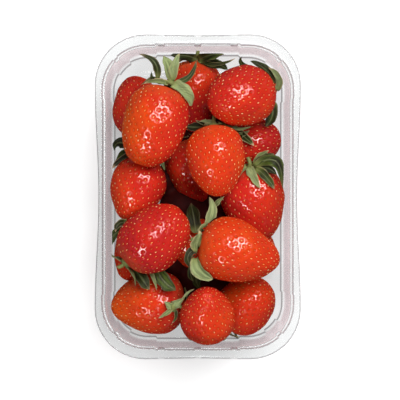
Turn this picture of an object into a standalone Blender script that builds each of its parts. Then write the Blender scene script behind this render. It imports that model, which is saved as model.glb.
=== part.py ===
"""Punnet of strawberries: a clear thermoformed tray with a heap of eighteen berries in it.

Units are metres. The tray stands on Z = 0, with its long side along Y and its centre on the Z axis.
"""

import math

import bmesh
import bpy
from mathutils import Matrix, Vector

MM = 0.001

# Tray: outline sizes are half widths (X), half lengths (Y) and corner radii of the inner surface.
RIM_HEIGHT = 65.0 * MM
SHEET = 0.6 * MM
RIM_OUTER = (59.3 * MM, 93.5 * MM, 29.0 * MM)
RIM_INNER = (55.1 * MM, 87.3 * MM, 25.5 * MM)
LEDGE_OUTER = (54.7 * MM, 86.9 * MM, 25.0 * MM)
WALL_TOP = (53.4 * MM, 86.0 * MM, 24.0 * MM)
WALL_FOOT = (51.6 * MM, 84.9 * MM, 22.0 * MM)
FOOT_CURVE = (51.05 * MM, 84.25 * MM, 20.75 * MM)
FLOOR_EDGE = (49.5 * MM, 82.6 * MM, 19.5 * MM)
SIDE_WAIST = 2.1 * MM  # how far the rim's long edges curve in at the middle
END_WAIST = 0.5 * MM
LIP_DROP = 2.4 * MM  # the rim's turned-down edge
LEDGE_DROP = 4.2 * MM  # from the rim down to the stacking ledge
LEDGE_ROUND = 0.5 * MM  # from the ledge down to the top of the wall
WALL_FOOT_HEIGHT = 6.0 * MM
FOOT_CURVE_RISE = 1.6 * MM
EDGE_ROUND = 0.5 * MM
# Share of the sheet's thickness by which a ring outside moves out, where the sheet lies sloping.
RIM_SHARE = 0.5
FOOT_SHARE = 0.7
FLOOR_SHARE = 0.3

# Pressed panels in the wall.
END_PANEL_HALF = 25.0 * MM  # middle panel of each end wall
END_PANEL_STEP = 1.1 * MM
SIDE_PANEL_HALF = 56.0 * MM  # middle panel of each long wall
SIDE_PANEL_STEP = 0.6 * MM
PANEL_DRAFT = 1.0 * MM  # how wide the step at a panel's edge is
CORNER_FLUTE_STEP = 1.2 * MM  # the flute that stiffens each corner, widest at the floor
CORNER_FLUTE_HALF_FOOT = 14.0  # degrees either side of the corner's diagonal
CORNER_FLUTE_HALF_TOP = 3.0
CORNER_FLUTE_DRAFT = 1.0  # degrees
PANELS_AT_LEDGE = 0.8  # share of the panels' and flutes' depth that is left at the ledge
PANELS_AT_RIM = 0.6

# Ribs pressed across the floor.
RIB_COUNT = 12
RIB_PITCH = 13.0 * MM
RIB_HALF_LENGTH = 36.0 * MM
RIB_HALF_WIDTH = 2.6 * MM
RIB_RISE = 1.2 * MM
RIB_ROOT = 0.3 * MM
RIB_DRAFT = 0.6 * MM
GROOVE_HALF_WIDTH = 1.7 * MM
GROOVE_DEPTH = 0.9 * MM
GROOVE_DRAFT = 0.3 * MM
GROOVE_START = -1.0 * MM

# Berries: centre (mm), heading of the tip in plan (degrees from +X), rise of the tip (degrees),
# length and width (mm), taper towards the tip, and how sharp the tip is.
BERRIES = {
    "north_west_big": ((-25.5, 41.0, 52.5), 253, 0, 49.0, 38.0, 0.14, 0.75),
    "north_east_round": ((24.3, 58.2, 52.5), 195, 40, 43.0, 36.0, 0.14, 0.85),
    "middle_egg": ((10.5, 20.8, 54.5), 273, 8, 42.0, 35.0, 0.20, 0.95),
    "east_broad": ((33.0, -4.0, 32.0), 284, 0, 46.0, 38.5, 0.22, 0.85),
    "west_crimson": ((-25.0, -23.5, 51.5), 41, 0, 45.0, 37.5, 0.12, 0.78),
    "east_cone": ((24.5, -32.0, 53.2), 349, 0, 48.0, 38.5, 0.30, 1.00),
    "south_cone": ((5.2, -66.8, 48.0), 95, 46, 37.0, 33.5, 0.32, 1.00),
    "north_west_deep": ((-35.5, 53.5, 19.0), 100, 5, 37.0, 32.0, 0.20, 0.95),
    "north_middle_deep": ((-2.5, 59.5, 20.0), 265, 0, 43.0, 34.0, 0.22, 0.95),
    "east_small": ((33.0, 32.5, 22.0), 10, 10, 34.0, 30.0, 0.15, 0.95),
    "middle_deep": ((-3.5, 15.0, 18.5), 293, 0, 41.0, 30.0, 0.15, 0.95),
    "west_middle": ((-36.0, 4.0, 32.5), 252, 10, 40.0, 33.0, 0.24, 0.95),
    "south_west_big": ((-29.5, -62.5, 22.5), 184, 0, 44.0, 38.5, 0.26, 0.95),
    "south_east": ((29.8, -63.0, 22.0), 40, 30, 37.0, 34.0, 0.20, 0.95),
    "west_hidden": ((-35.8, -30.0, 17.2), 276, 0, 34.0, 29.0, 0.24, 1.00),
    "east_hidden": ((34.0, -33.5, 16.3), 60, 0, 28.0, 26.5, 0.20, 0.95),
    "north_east_hidden": ((31.5, 62.5, 17.2), 25, 0, 36.0, 29.0, 0.20, 0.95),
    "middle_hidden": ((1.0, -27.0, 18.2), 0, 0, 36.0, 31.0, 0.20, 0.95),
}
SHOULDER_POWER = 0.80  # below 1, the calyx end is fuller than an ellipse's
BERRY_RINGS = 11
BERRY_SIDES = 16

# Core that joins the berries into one heap: two blocks deep inside it, given by their centres and
# sizes (mm), and a ball between them and each berry of the upper layer.
CORE_TOP = 27.0
CORE_HALF_HEIGHT = 9.0
CORE_MIDDLE = CORE_TOP - CORE_HALF_HEIGHT
CORE_BLOCKS = {
    "middle": ((0.0, 5.0, CORE_MIDDLE), (48.0, 110.0, 2.0 * CORE_HALF_HEIGHT)),
    "south": ((1.0, -58.0, CORE_MIDDLE), (26.0, 20.0, 2.0 * CORE_HALF_HEIGHT)),
}
CORE_BEVEL = 6.0 * MM
UPPER_LAYER = (
    "north_west_big", "north_east_round", "middle_egg", "west_crimson", "east_cone", "south_cone",
)
BALL_OVERLAP = 4.0  # how far a ball reaches into the berry above it (mm)

PET_COLOUR = (0.86, 0.88, 0.88, 0.30)
PET_ROUGHNESS = 0.08
PET_IOR = 1.57
BERRY_COLOUR = (0.68, 0.035, 0.02, 1.0)
BERRY_ROUGHNESS = 0.28
BERRY_IOR = 1.38


def clear_scene():
    """Remove every object that the file opened with."""
    for item in list(bpy.data.objects):
        bpy.data.objects.remove(item, do_unlink=True)


def principled(name, colour, roughness, ior):
    """A Principled material with one colour."""
    material = bpy.data.materials.new(name)
    material.use_nodes = True
    shader = material.node_tree.nodes["Principled BSDF"]
    shader.inputs["Base Color"].default_value = colour
    shader.inputs["Roughness"].default_value = roughness
    shader.inputs["Metallic"].default_value = 0.0
    shader.inputs["IOR"].default_value = ior
    shader.inputs["Alpha"].default_value = colour[3]
    material.diffuse_color = colour
    return material


def add_object(name, mesh):
    """Link a mesh to the scene as one named object."""
    item = bpy.data.objects.new(name, mesh)
    bpy.context.scene.collection.objects.link(item)
    return item


def mesh_from(name, bm):
    """Finish a bmesh as a mesh."""
    bmesh.ops.recalc_face_normals(bm, faces=bm.faces)
    mesh = bpy.data.meshes.new(name)
    bm.to_mesh(mesh)
    bm.free()
    return mesh


def boolean(item, other, operation, with_self=False):
    """Join or cut an object with a hidden guide object."""
    other.hide_render = True
    other.display_type = "WIRE"
    change = item.modifiers.new(operation.lower(), "BOOLEAN")
    change.operation = operation
    change.object = other
    change.solver = "EXACT"
    change.use_self = with_self


def outline(size, height, waist=0.0, panels=0.0, flute_half=0.0, grow=0.0):
    """One ring of the tray, anticlockwise from the middle of the +X side.

    size holds the half width, half length and corner radius. waist (0 or 1) curves the sides in,
    panels (0 to 1) sets how deep the wall's panels and corner flutes are, and grow moves the ring out.
    """
    half_width, half_length, corner = (value + grow for value in size)
    straight = half_length - corner
    quarter = []
    panel = SIDE_PANEL_HALF
    for along in (0.0, panel / 3, panel / 1.5, panel, panel + PANEL_DRAFT):
        bow = waist * SIDE_WAIST * math.cos(0.5 * math.pi * along / straight) ** 2
        inside = SIDE_PANEL_STEP * panels if along <= panel else 0.0
        quarter.append((half_width - bow - inside, along))
    beside = flute_half + CORNER_FLUTE_DRAFT
    around = (-45.0, -35.0, -25.0, -beside, -flute_half, 0.0, flute_half, beside, 25.0, 35.0, 45.0)
    for off_diagonal in around:
        in_flute = abs(off_diagonal) <= flute_half
        radius = corner - (CORNER_FLUTE_STEP * panels if in_flute else 0.0)
        turn = math.radians(45.0 + off_diagonal)
        quarter.append((
            half_width - corner + radius * math.cos(turn),
            straight + radius * math.sin(turn),
        ))
    flat = half_width - corner
    middle = END_PANEL_HALF
    for along in (0.5 * (flat + middle), middle, middle - PANEL_DRAFT, middle / 2, 0.0):
        bow = waist * END_WAIST * math.cos(0.5 * math.pi * along / flat) ** 2
        out = END_PANEL_STEP * panels if along < middle else 0.0
        quarter.append((along, half_length - bow + out))
    north_west = [(-x, y) for x, y in reversed(quarter[:-1])]
    half = quarter + north_west
    south = [(-x, -y) for x, y in half[1:-1]]
    return [Vector((x, y, height)) for x, y in half + south]


def ring_loft(name, rings):
    """A closed shell through rings with the same number of points, with both ends filled."""
    bm = bmesh.new()
    loops = [[bm.verts.new(point) for point in ring] for ring in rings]
    count = len(loops[0])
    for lower, upper in zip(loops, loops[1:]):
        for i in range(count):
            j = (i + 1) % count
            bm.faces.new((lower[i], lower[j], upper[j], upper[i]))
    bm.faces.new(loops[0])
    bm.faces.new(loops[-1])
    return mesh_from(name, bm)


def bars(name, half_width, bottom, top, draft):
    """The row of bars across the floor: ribs or the grooves under them."""
    bm = bmesh.new()
    for index in range(RIB_COUNT):
        centre = (index - 0.5 * (RIB_COUNT - 1)) * RIB_PITCH
        made = bmesh.ops.create_cube(bm, size=1.0)
        for vert in made["verts"]:
            narrow = draft if vert.co.z > 0.0 else 0.0
            length = RIB_HALF_LENGTH - RIB_HALF_WIDTH + half_width - narrow
            vert.co.x *= 2.0 * length
            vert.co.y = centre + vert.co.y * 2.0 * (half_width - narrow)
            vert.co.z = top if vert.co.z > 0.0 else bottom
    return add_object(name, mesh_from(name, bm))


def build_tray():
    """The clear tray: floor, foot, panelled wall, stacking ledge, rim and turned-down lip."""
    top = RIM_HEIGHT
    low = CORNER_FLUTE_HALF_FOOT
    high = CORNER_FLUTE_HALF_TOP
    at_ledge = PANELS_AT_LEDGE
    at_rim = PANELS_AT_RIM
    rounded = [value + EDGE_ROUND for value in RIM_INNER]
    lip_top = [value - EDGE_ROUND for value in RIM_OUTER]
    ledge = top - LEDGE_DROP
    rings = [
        outline(FLOOR_EDGE, SHEET, 0.0, 1.0, low),
        outline(FOOT_CURVE, SHEET + FOOT_CURVE_RISE, 0.0, 1.0, low),
        outline(WALL_FOOT, WALL_FOOT_HEIGHT, 0.0, 1.0, low),
        outline(WALL_TOP, ledge - LEDGE_ROUND, 0.0, at_ledge, high),
        outline(LEDGE_OUTER, ledge, 0.0, at_ledge, high),
        outline(RIM_INNER, top - EDGE_ROUND, 0.0, at_rim, high),
        outline(rounded, top, 0.0, at_rim, high),
        outline(lip_top, top, 1.0, 0.0, high),
        outline(RIM_OUTER, top - EDGE_ROUND, 1.0, 0.0, high),
        outline(RIM_OUTER, top - LIP_DROP, 1.0, 0.0, high),
        outline(RIM_OUTER, top - LIP_DROP, 1.0, 0.0, high, -SHEET),
        outline(RIM_OUTER, top - SHEET, 1.0, 0.0, high, -SHEET),
        outline(rounded, top - SHEET, 0.0, at_rim, high, SHEET * RIM_SHARE),
        outline(LEDGE_OUTER, ledge - SHEET, 0.0, at_ledge, high, SHEET),
        outline(WALL_TOP, ledge - LEDGE_ROUND - SHEET, 0.0, at_ledge, high, SHEET),
        outline(WALL_FOOT, WALL_FOOT_HEIGHT, 0.0, 1.0, low, SHEET),
        outline(FOOT_CURVE, FOOT_CURVE_RISE, 0.0, 1.0, low, SHEET * FOOT_SHARE),
        outline(FLOOR_EDGE, 0.0, 0.0, 1.0, low, SHEET * FLOOR_SHARE),
    ]
    tray = add_object("punnet_tray", ring_loft("punnet_tray", rings))
    ribs = bars("rib_guide", RIB_HALF_WIDTH, RIB_ROOT, SHEET + RIB_RISE, RIB_DRAFT)
    grooves = bars("groove_guide", GROOVE_HALF_WIDTH, GROOVE_START, GROOVE_DEPTH, GROOVE_DRAFT)
    boolean(tray, ribs, "UNION")
    boolean(tray, grooves, "DIFFERENCE")
    tray.data.materials.append(principled("clear_pet", PET_COLOUR, PET_ROUGHNESS, PET_IOR))
    return tray


def berry_radius(turn, taper, tip_power):
    """Relative radius of a berry at an angle from its calyx end (0) to its tip (pi)."""
    power = SHOULDER_POWER + (tip_power - SHOULDER_POWER) * turn / math.pi
    return max(math.sin(turn), 0.0) ** power * (1.0 + taper * math.cos(turn))


def berry_frame(centre, heading, rise):
    """Matrix that puts a berry's axis (+Z, from calyx to tip) where it lies in the heap."""
    heading, rise = math.radians(heading), math.radians(rise)
    flat = math.cos(rise)
    tip = Vector((math.cos(heading) * flat, math.sin(heading) * flat, math.sin(rise)))
    side = tip.cross(Vector((0.0, 0.0, 1.0))).normalized()
    up = side.cross(tip)
    turn = Matrix((side, up, tip)).transposed().to_4x4()
    return Matrix.Translation(Vector(centre) * MM) @ turn


def add_berry(bm, berry):
    """Add one berry's body to a bmesh: rings from the calyx end to the tip, closed at both."""
    centre, heading, rise, length, width, taper, tip_power = berry
    place = berry_frame(centre, heading, rise)
    turns = [math.pi * k / BERRY_RINGS for k in range(1, BERRY_RINGS)]
    widest = max(berry_radius(math.radians(k), taper, tip_power) for k in range(180))
    loops = []
    for turn in turns:
        radius = 0.5 * width * MM * berry_radius(turn, taper, tip_power) / widest
        along = -0.5 * length * MM * math.cos(turn)
        loop = []
        for step in range(BERRY_SIDES):
            around = 2.0 * math.pi * step / BERRY_SIDES
            point = Vector((radius * math.cos(around), radius * math.sin(around), along))
            loop.append(bm.verts.new(place @ point))
        loops.append(loop)
    calyx_end = bm.verts.new(place @ Vector((0.0, 0.0, -0.5 * length * MM)))
    tip = bm.verts.new(place @ Vector((0.0, 0.0, 0.5 * length * MM)))
    for step in range(BERRY_SIDES):
        after = (step + 1) % BERRY_SIDES
        bm.faces.new((calyx_end, loops[0][after], loops[0][step]))
        bm.faces.new((tip, loops[-1][step], loops[-1][after]))
        for lower, upper in zip(loops, loops[1:]):
            bm.faces.new((lower[step], lower[after], upper[after], upper[step]))


def add_ball(bm, berry):
    """Add the ball that joins a berry of the upper layer to the core below it."""
    centre, width = berry[0], berry[4]
    lowest = centre[2] - 0.5 * width
    radius = 0.5 * (lowest - CORE_TOP) + BALL_OVERLAP
    place = Matrix.Translation(Vector((centre[0], centre[1], 0.5 * (lowest + CORE_TOP))) * MM)
    bmesh.ops.create_icosphere(bm, subdivisions=2, radius=radius * MM, matrix=place)


def core_block(centre, size):
    """A bevelled block deep in the heap."""
    bm = bmesh.new()
    bmesh.ops.create_cube(bm, size=1.0)
    for vert in bm.verts:
        vert.co = Vector(
            (centre[axis] + vert.co[axis] * size[axis]) * MM for axis in range(3)
        )
    bmesh.ops.bevel(bm, geom=bm.edges[:], offset=CORE_BEVEL, segments=1, affect="EDGES")
    return mesh_from("core_block", bm)


def keep_outer_shell(mesh):
    """Delete the closed pockets that a union leaves inside the heap."""
    bm = bmesh.new()
    bm.from_mesh(mesh)
    left = set(bm.verts)
    shells = []
    while left:
        stack = [left.pop()]
        shell = set(stack)
        while stack:
            for edge in stack.pop().link_edges:
                for vert in edge.verts:
                    if vert in left:
                        left.discard(vert)
                        shell.add(vert)
                        stack.append(vert)
        shells.append(shell)
    outer = max(shells, key=len)
    spare = [vert for shell in shells if shell is not outer for vert in shell]
    bmesh.ops.delete(bm, geom=spare, context="VERTS")
    bm.to_mesh(mesh)
    bm.free()


def build_heap():
    """The berries, joined to a core inside them as one solid with the heap's uneven outline."""
    bm = bmesh.new()
    for berry in BERRIES.values():
        add_berry(bm, berry)
    for name in UPPER_LAYER:
        add_ball(bm, BERRIES[name])
    berries = add_object("berries_guide", mesh_from("berries_guide", bm))
    middle = add_object("core_guide", core_block(*CORE_BLOCKS["middle"]))
    south = add_object("south_core_guide", core_block(*CORE_BLOCKS["south"]))
    boolean(middle, south, "UNION")
    boolean(middle, berries, "UNION", with_self=True)
    graph = bpy.context.evaluated_depsgraph_get()
    mesh = bpy.data.meshes.new_from_object(middle.evaluated_get(graph), depsgraph=graph)
    for guide in (middle, south, berries):
        bpy.data.objects.remove(guide, do_unlink=True)
    keep_outer_shell(mesh)
    mesh.name = "strawberry_heap"
    heap = add_object("strawberry_heap", mesh)
    heap.data.materials.clear()
    heap.data.materials.append(principled("strawberry_skin", BERRY_COLOUR, BERRY_ROUGHNESS, BERRY_IOR))
    for face in heap.data.polygons:
        face.use_smooth = True
    return heap


clear_scene()
build_tray()
build_heap()
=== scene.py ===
"""Punnet of strawberries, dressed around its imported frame. Metres, +Z up, +Y along the tray."""

import math
import random

import bmesh
import bpy
from mathutils import Matrix, Vector


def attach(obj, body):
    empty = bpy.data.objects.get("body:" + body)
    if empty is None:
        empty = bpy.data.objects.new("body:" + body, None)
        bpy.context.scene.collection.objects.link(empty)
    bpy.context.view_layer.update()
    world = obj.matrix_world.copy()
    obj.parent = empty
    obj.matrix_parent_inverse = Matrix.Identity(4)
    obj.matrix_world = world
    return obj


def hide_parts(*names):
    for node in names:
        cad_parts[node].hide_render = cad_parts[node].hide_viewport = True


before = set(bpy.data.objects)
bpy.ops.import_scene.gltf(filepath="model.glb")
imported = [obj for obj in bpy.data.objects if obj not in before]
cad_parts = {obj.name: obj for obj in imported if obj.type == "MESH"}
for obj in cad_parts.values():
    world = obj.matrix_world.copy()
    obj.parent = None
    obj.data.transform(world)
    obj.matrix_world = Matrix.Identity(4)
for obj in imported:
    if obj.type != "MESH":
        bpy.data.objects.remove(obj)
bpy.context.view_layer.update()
MM = 0.001
bpy.context.scene.view_settings.view_transform = "Standard"


# ---------------------------------------------------------------------------------------------
# Clear tray. One sheet of PET, heated and drawn down into a mould, then cut out around its rim.
# The mould gives it ribs across the floor, a flute in each corner, panels in the walls, a ledge
# for stacking with small lugs that keep stacked trays apart, and a flat rim with a lip.

SHEET = 0.6
RIM_OUTER = (59.3, 93.5, 29.0)  # half width, half length and corner radius (mm)
RIM_INNER = (55.1, 87.3, 25.5)
LEDGE_OUTER = (54.7, 86.9, 25.0)
WALL_TOP = (53.4, 86.0, 24.0)
WALL_FOOT = (51.6, 84.9, 22.0)
FLOOR_EDGE = (49.5, 82.6, 19.5)
RIM_HEIGHT = 65.0
LEDGE_HEIGHT = 60.8
WALL_FOOT_HEIGHT = 6.0
LIP_HEIGHT = 62.6
ROUND = 0.5  # radius of the bends at ledge and rim
SIDE_WAIST = 2.1  # how far the rim's long edges curve in at the middle
END_WAIST = 0.5
SIDE_PANEL_HALF = 56.0
SIDE_PANEL_STEP = 0.6
END_PANEL_HALF = 25.0
END_PANEL_STEP = 1.1
PANEL_DRAFT = 1.0
PANEL_FADE = 0.2  # share of the panels' and flutes' depth that is gone at the ledge
FLUTE_STEP = 1.2
FLUTE_HALF_FOOT = 14.0  # degrees either side of the corner's diagonal
FLUTE_HALF_TOP = 3.0
FLUTE_DRAFT = 1.2
LUG_PLACES = (0.0, 21.0)  # along each end wall, and mirrored
LUG_DEPTH = 0.9
LUG_HALF = 1.6
LUG_DRAFT = 0.6
LUG_BEND_SHADE = 0.2  # how much painted shade a bend gets on a lug, next to the rest of it
RIB_COUNT = 12
RIB_PITCH = 13.0
RIB_HALF_LENGTH = 36.0
RIB_HALF_WIDTH = 2.6
RIB_RISE = 1.2
RIB_SLOPE = 1.3  # width of a rib's flanks
FLOOR_GRID = (38.0, 75.0)  # half sizes of the ribbed part of the floor
FLOOR_CELLS = (48, 200)
SIDE_STEPS = 10  # points along half of a side panel
CORNER_STEPS = 5  # points on either side of a flute
FOOT_STEPS = 7
WALL_STEPS = 8
FLANGE_RINGS = 16  # the outermost rings of the sheet, which make the ledge and the rim
PAINTED_BEND_SHADE = {  # bends at foot, ledge, riser and lip, and the painted shade in each
    1: 0.45, 16: 0.5, 21: 0.3, 22: 1.1, 23: 0.25, 29: 0.9, 30: 0.6, 31: 0.1,
}


def smooth_step(value):
    """0 below 0, 1 above 1, and an even curve between."""
    value = min(max(value, 0.0), 1.0)
    return value * value * (3.0 - 2.0 * value)


def between(low, high, share):
    """Sizes part of the way from one ring's to another's."""
    return [a + (b - a) * share for a, b in zip(low, high)]


def tray_ring(size, height, waist=0.0, panels=0.0, flute_half=FLUTE_HALF_TOP, lugs=0.0):
    """One ring of the tray, anticlockwise from the middle of the +X side, in mm."""
    half_width, half_length, corner = size
    straight = half_length - corner
    quarter = []
    side_steps = [SIDE_PANEL_HALF * k / SIDE_STEPS for k in range(SIDE_STEPS + 1)]
    side_steps.append(SIDE_PANEL_HALF + PANEL_DRAFT)
    for along in side_steps:
        bow = waist * SIDE_WAIST * math.cos(0.5 * math.pi * along / straight) ** 2
        inside = SIDE_PANEL_STEP * panels if along <= SIDE_PANEL_HALF else 0.0
        quarter.append((half_width - bow - inside, along))
    beside = flute_half + FLUTE_DRAFT
    past_flute = [(45.0 - beside) * k / CORNER_STEPS for k in range(CORNER_STEPS + 1)]
    corner_turns = [-45.0 + turn for turn in past_flute]
    corner_turns += [flute_half * k / 2 for k in range(-2, 3)]
    corner_turns += [beside + turn for turn in past_flute]
    for off_diagonal in corner_turns:
        in_flute = abs(off_diagonal) < beside - 0.5 * FLUTE_DRAFT
        radius = corner - (FLUTE_STEP * panels if in_flute else 0.0)
        turn = math.radians(45.0 + off_diagonal)
        quarter.append((
            half_width - corner + radius * math.cos(turn),
            straight + radius * math.sin(turn),
        ))
    flat = half_width - corner
    end_steps = [0.5 * (flat + END_PANEL_HALF), END_PANEL_HALF, END_PANEL_HALF - PANEL_DRAFT]
    for place in reversed(LUG_PLACES):
        around = (LUG_HALF + LUG_DRAFT, LUG_HALF, 0.0, -LUG_HALF, -LUG_HALF - LUG_DRAFT)
        end_steps += [place + off for off in around if place + off >= 0.0]
        if place > 0.0:
            end_steps += [0.7 * place, 0.35 * place]
    for along in end_steps:
        bow = waist * END_WAIST * math.cos(0.5 * math.pi * along / flat) ** 2
        out = END_PANEL_STEP * panels if along < END_PANEL_HALF else 0.0
        on_lug = any(abs(along - place) <= LUG_HALF + 0.01 for place in LUG_PLACES)
        lug = LUG_DEPTH * lugs if on_lug else 0.0
        quarter.append((along, half_length - bow + out - lug))
    half = quarter + [(-x, y) for x, y in reversed(quarter[:-1])]
    ring = half + [(-x, -y) for x, y in half[1:-1]]
    return [Vector((x, y, height)) * MM for x, y in ring]


def grown(size, by):
    """A ring's sizes, moved outwards."""
    return [value + by for value in size]


def tray_rings():
    """Rings of the sheet's upper face, from the floor's edge to the bottom of the rim's lip."""
    rings = []
    for k in range(FOOT_STEPS + 1):
        turn = 0.5 * math.pi * k / FOOT_STEPS
        size = between(FLOOR_EDGE, WALL_FOOT, math.sin(turn))
        height = SHEET + (WALL_FOOT_HEIGHT - SHEET) * (1.0 - math.cos(turn))
        rings.append(tray_ring(size, height, panels=1.0, flute_half=FLUTE_HALF_FOOT))
    for k in range(1, WALL_STEPS + 1):
        share = k / WALL_STEPS
        size = between(WALL_FOOT, WALL_TOP, share)
        height = WALL_FOOT_HEIGHT + (LEDGE_HEIGHT - ROUND - WALL_FOOT_HEIGHT) * share
        flute = FLUTE_HALF_FOOT + (FLUTE_HALF_TOP - FLUTE_HALF_FOOT) * share
        rings.append(tray_ring(size, height, panels=1.0 - PANEL_FADE * share, flute_half=flute))
    upper = 1.0 - PANEL_FADE
    bends = [  # size, height, and the shares of the waist, of the panels' depth and of the lugs
        (grown(WALL_TOP, 0.3 * ROUND), LEDGE_HEIGHT - 0.3 * ROUND, 0.0, upper, 0.0),
        (grown(WALL_TOP, ROUND), LEDGE_HEIGHT, 0.0, upper, 0.0),
        (grown(LEDGE_OUTER, -0.6 * ROUND), LEDGE_HEIGHT, 0.0, upper, 1.0),
        (grown(LEDGE_OUTER, -0.1 * ROUND), LEDGE_HEIGHT + 0.3 * ROUND, 0.0, upper, 1.0),
        (LEDGE_OUTER, LEDGE_HEIGHT + ROUND, 0.0, upper, 1.0),
        (between(LEDGE_OUTER, RIM_INNER, 0.7), RIM_HEIGHT - 3.0 * ROUND, 0.0, 0.6, 1.0),
        (RIM_INNER, RIM_HEIGHT - ROUND, 0.0, 0.6, 0.0),
        (grown(RIM_INNER, 0.3 * ROUND), RIM_HEIGHT - 0.3 * ROUND, 0.0, 0.6, 0.0),
        (grown(RIM_INNER, ROUND), RIM_HEIGHT, 0.0, 0.6, 0.0),
        (grown(RIM_INNER, 1.6 * ROUND), RIM_HEIGHT, 0.1, 0.5, 0.0),
        (between(RIM_INNER, RIM_OUTER, 0.5), RIM_HEIGHT, 0.5, 0.3, 0.0),
        (grown(RIM_OUTER, -1.6 * ROUND), RIM_HEIGHT, 0.9, 0.1, 0.0),
        (grown(RIM_OUTER, -ROUND), RIM_HEIGHT, 1.0, 0.0, 0.0),
        (grown(RIM_OUTER, -0.3 * ROUND), RIM_HEIGHT - 0.3 * ROUND, 1.0, 0.0, 0.0),
        (RIM_OUTER, RIM_HEIGHT - ROUND, 1.0, 0.0, 0.0),
        (RIM_OUTER, LIP_HEIGHT, 1.0, 0.0, 0.0),
    ]
    for size, height, waist, panels, lugs in bends:
        rings.append(tray_ring(size, height, waist, panels, FLUTE_HALF_TOP, lugs))
    return rings


def rib_height(x, y):
    """Height of the floor's upper face at a point: a row of ribs with sloping flanks and ends."""
    row = round(y / RIB_PITCH + 0.5 * (RIB_COUNT - 1))
    row = min(max(row, 0), RIB_COUNT - 1)
    off = abs(y - (row - 0.5 * (RIB_COUNT - 1)) * RIB_PITCH)
    across = smooth_step((RIB_HALF_WIDTH - off) / RIB_SLOPE)
    end = smooth_step((RIB_HALF_LENGTH - abs(x)) / (1.5 * RIB_SLOPE))
    return SHEET + RIB_RISE * across * end


def add_object(name, data):
    """Link a mesh, a light or a camera to the scene as one named object."""
    piece = bpy.data.objects.new(name, data)
    bpy.context.scene.collection.objects.link(piece)
    return piece


def mesh_from(name, bm):
    """Finish a bmesh as a smooth mesh."""
    for face in bm.faces:
        face.smooth = True
    mesh = bpy.data.meshes.new(name)
    bm.to_mesh(mesh)
    bm.free()
    return mesh


def tray_sheet():
    """The sheet's upper face as one open surface: ribbed floor, wall, ledge, rim and lip."""
    bm = bmesh.new()
    flange = bm.verts.layers.float.new("flange")
    bend = bm.verts.layers.float.new("bend")
    loops = [[bm.verts.new(point) for point in ring] for ring in tray_rings()]
    count = len(loops[0])
    for lower, upper in zip(loops, loops[1:]):
        for i in range(count):
            j = (i + 1) % count
            bm.faces.new((lower[j], lower[i], upper[i], upper[j]))
    for loop in loops[-FLANGE_RINGS:]:
        for vert in loop:
            vert[flange] = 1.0
    # Painted shade in the bends, weaker where a bend runs over a lug.
    for number, dark in PAINTED_BEND_SHADE.items():
        for vert in loops[number]:
            at_end = abs(vert.co.y) > (LEDGE_OUTER[1] - LUG_DEPTH - ROUND) * MM
            along = abs(vert.co.x) / MM
            on_lug = any(abs(along - place) < LUG_HALF + 0.5 * LUG_DRAFT for place in LUG_PLACES)
            vert[bend] = LUG_BEND_SHADE * dark if at_end and on_lug else dark
    columns, rows = FLOOR_CELLS
    grid = []
    for i in range(columns + 1):
        x = FLOOR_GRID[0] * (2.0 * i / columns - 1.0)
        column = []
        for j in range(rows + 1):
            y = FLOOR_GRID[1] * (2.0 * j / rows - 1.0)
            column.append(bm.verts.new(Vector((x, y, rib_height(x, y))) * MM))
        grid.append(column)
    for i in range(columns):
        for j in range(rows):
            bm.faces.new((grid[i][j], grid[i + 1][j], grid[i + 1][j + 1], grid[i][j + 1]))
    inner = [edge for edge in bm.edges if len(edge.link_faces) == 1]
    lip = set(loops[-1])
    inner = [edge for edge in inner if edge.verts[0] not in lip]
    filled = bmesh.ops.triangle_fill(bm, use_beauty=True, edges=inner)
    for face in filled["geom"]:
        if isinstance(face, bmesh.types.BMFace) and face.normal.z < 0.0:
            face.normal_flip()
    return mesh_from("punnet_tray_sheet", bm)


def linear(code):
    """An sRGB hex colour as linear RGBA."""
    channels = [int(code[i:i + 2], 16) / 255.0 for i in (1, 3, 5)]
    low = [c / 12.92 if c <= 0.04045 else ((c + 0.055) / 1.055) ** 2.4 for c in channels]
    return (*low, 1.0)


def add_node(tree, kind, inputs=(), **settings):
    """Add a node. Each input, by name or number, is a value or an output to link to it."""
    made = tree.nodes.new(kind)
    for name, value in settings.items():
        setattr(made, name, value)
    for key, value in dict(inputs).items():
        if isinstance(value, bpy.types.NodeSocket):
            tree.links.new(value, made.inputs[key])
        else:
            made.inputs[key].default_value = value
    return made


def new_material(name):
    """An empty material and its node tree."""
    material = bpy.data.materials.new(name)
    material.use_nodes = True
    material.node_tree.nodes.clear()
    return material, material.node_tree


# Clear thermoformed PET: almost colourless face on, and at grazing angles it mirrors what is round
# it. There its tint is a little grey-pink, a painted reflection of the fruit, and in its tight
# bends it is darker, painted shade in place of the refraction there. The ledge and the rim, which
# aren't stretched in forming, are thicker and a little milky. The light goes straight through.
clear_pet, tree = new_material("clear_thermoformed_pet")
facing = add_node(tree, "ShaderNodeLayerWeight", {"Blend": 0.5}).outputs["Facing"]
grazing = add_node(tree, "ShaderNodeMath", {0: facing, 1: 5.0}, operation="POWER").outputs[0]
mirror = add_node(tree, "ShaderNodeMapRange", {"Value": grazing, 3: 0.04, 4: 0.26}).outputs[0]
flange = add_node(tree, "ShaderNodeAttribute", attribute_name="flange").outputs["Fac"]
bend = add_node(tree, "ShaderNodeAttribute", attribute_name="bend").outputs["Fac"]
tint = linear("#FCFDFD")
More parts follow.
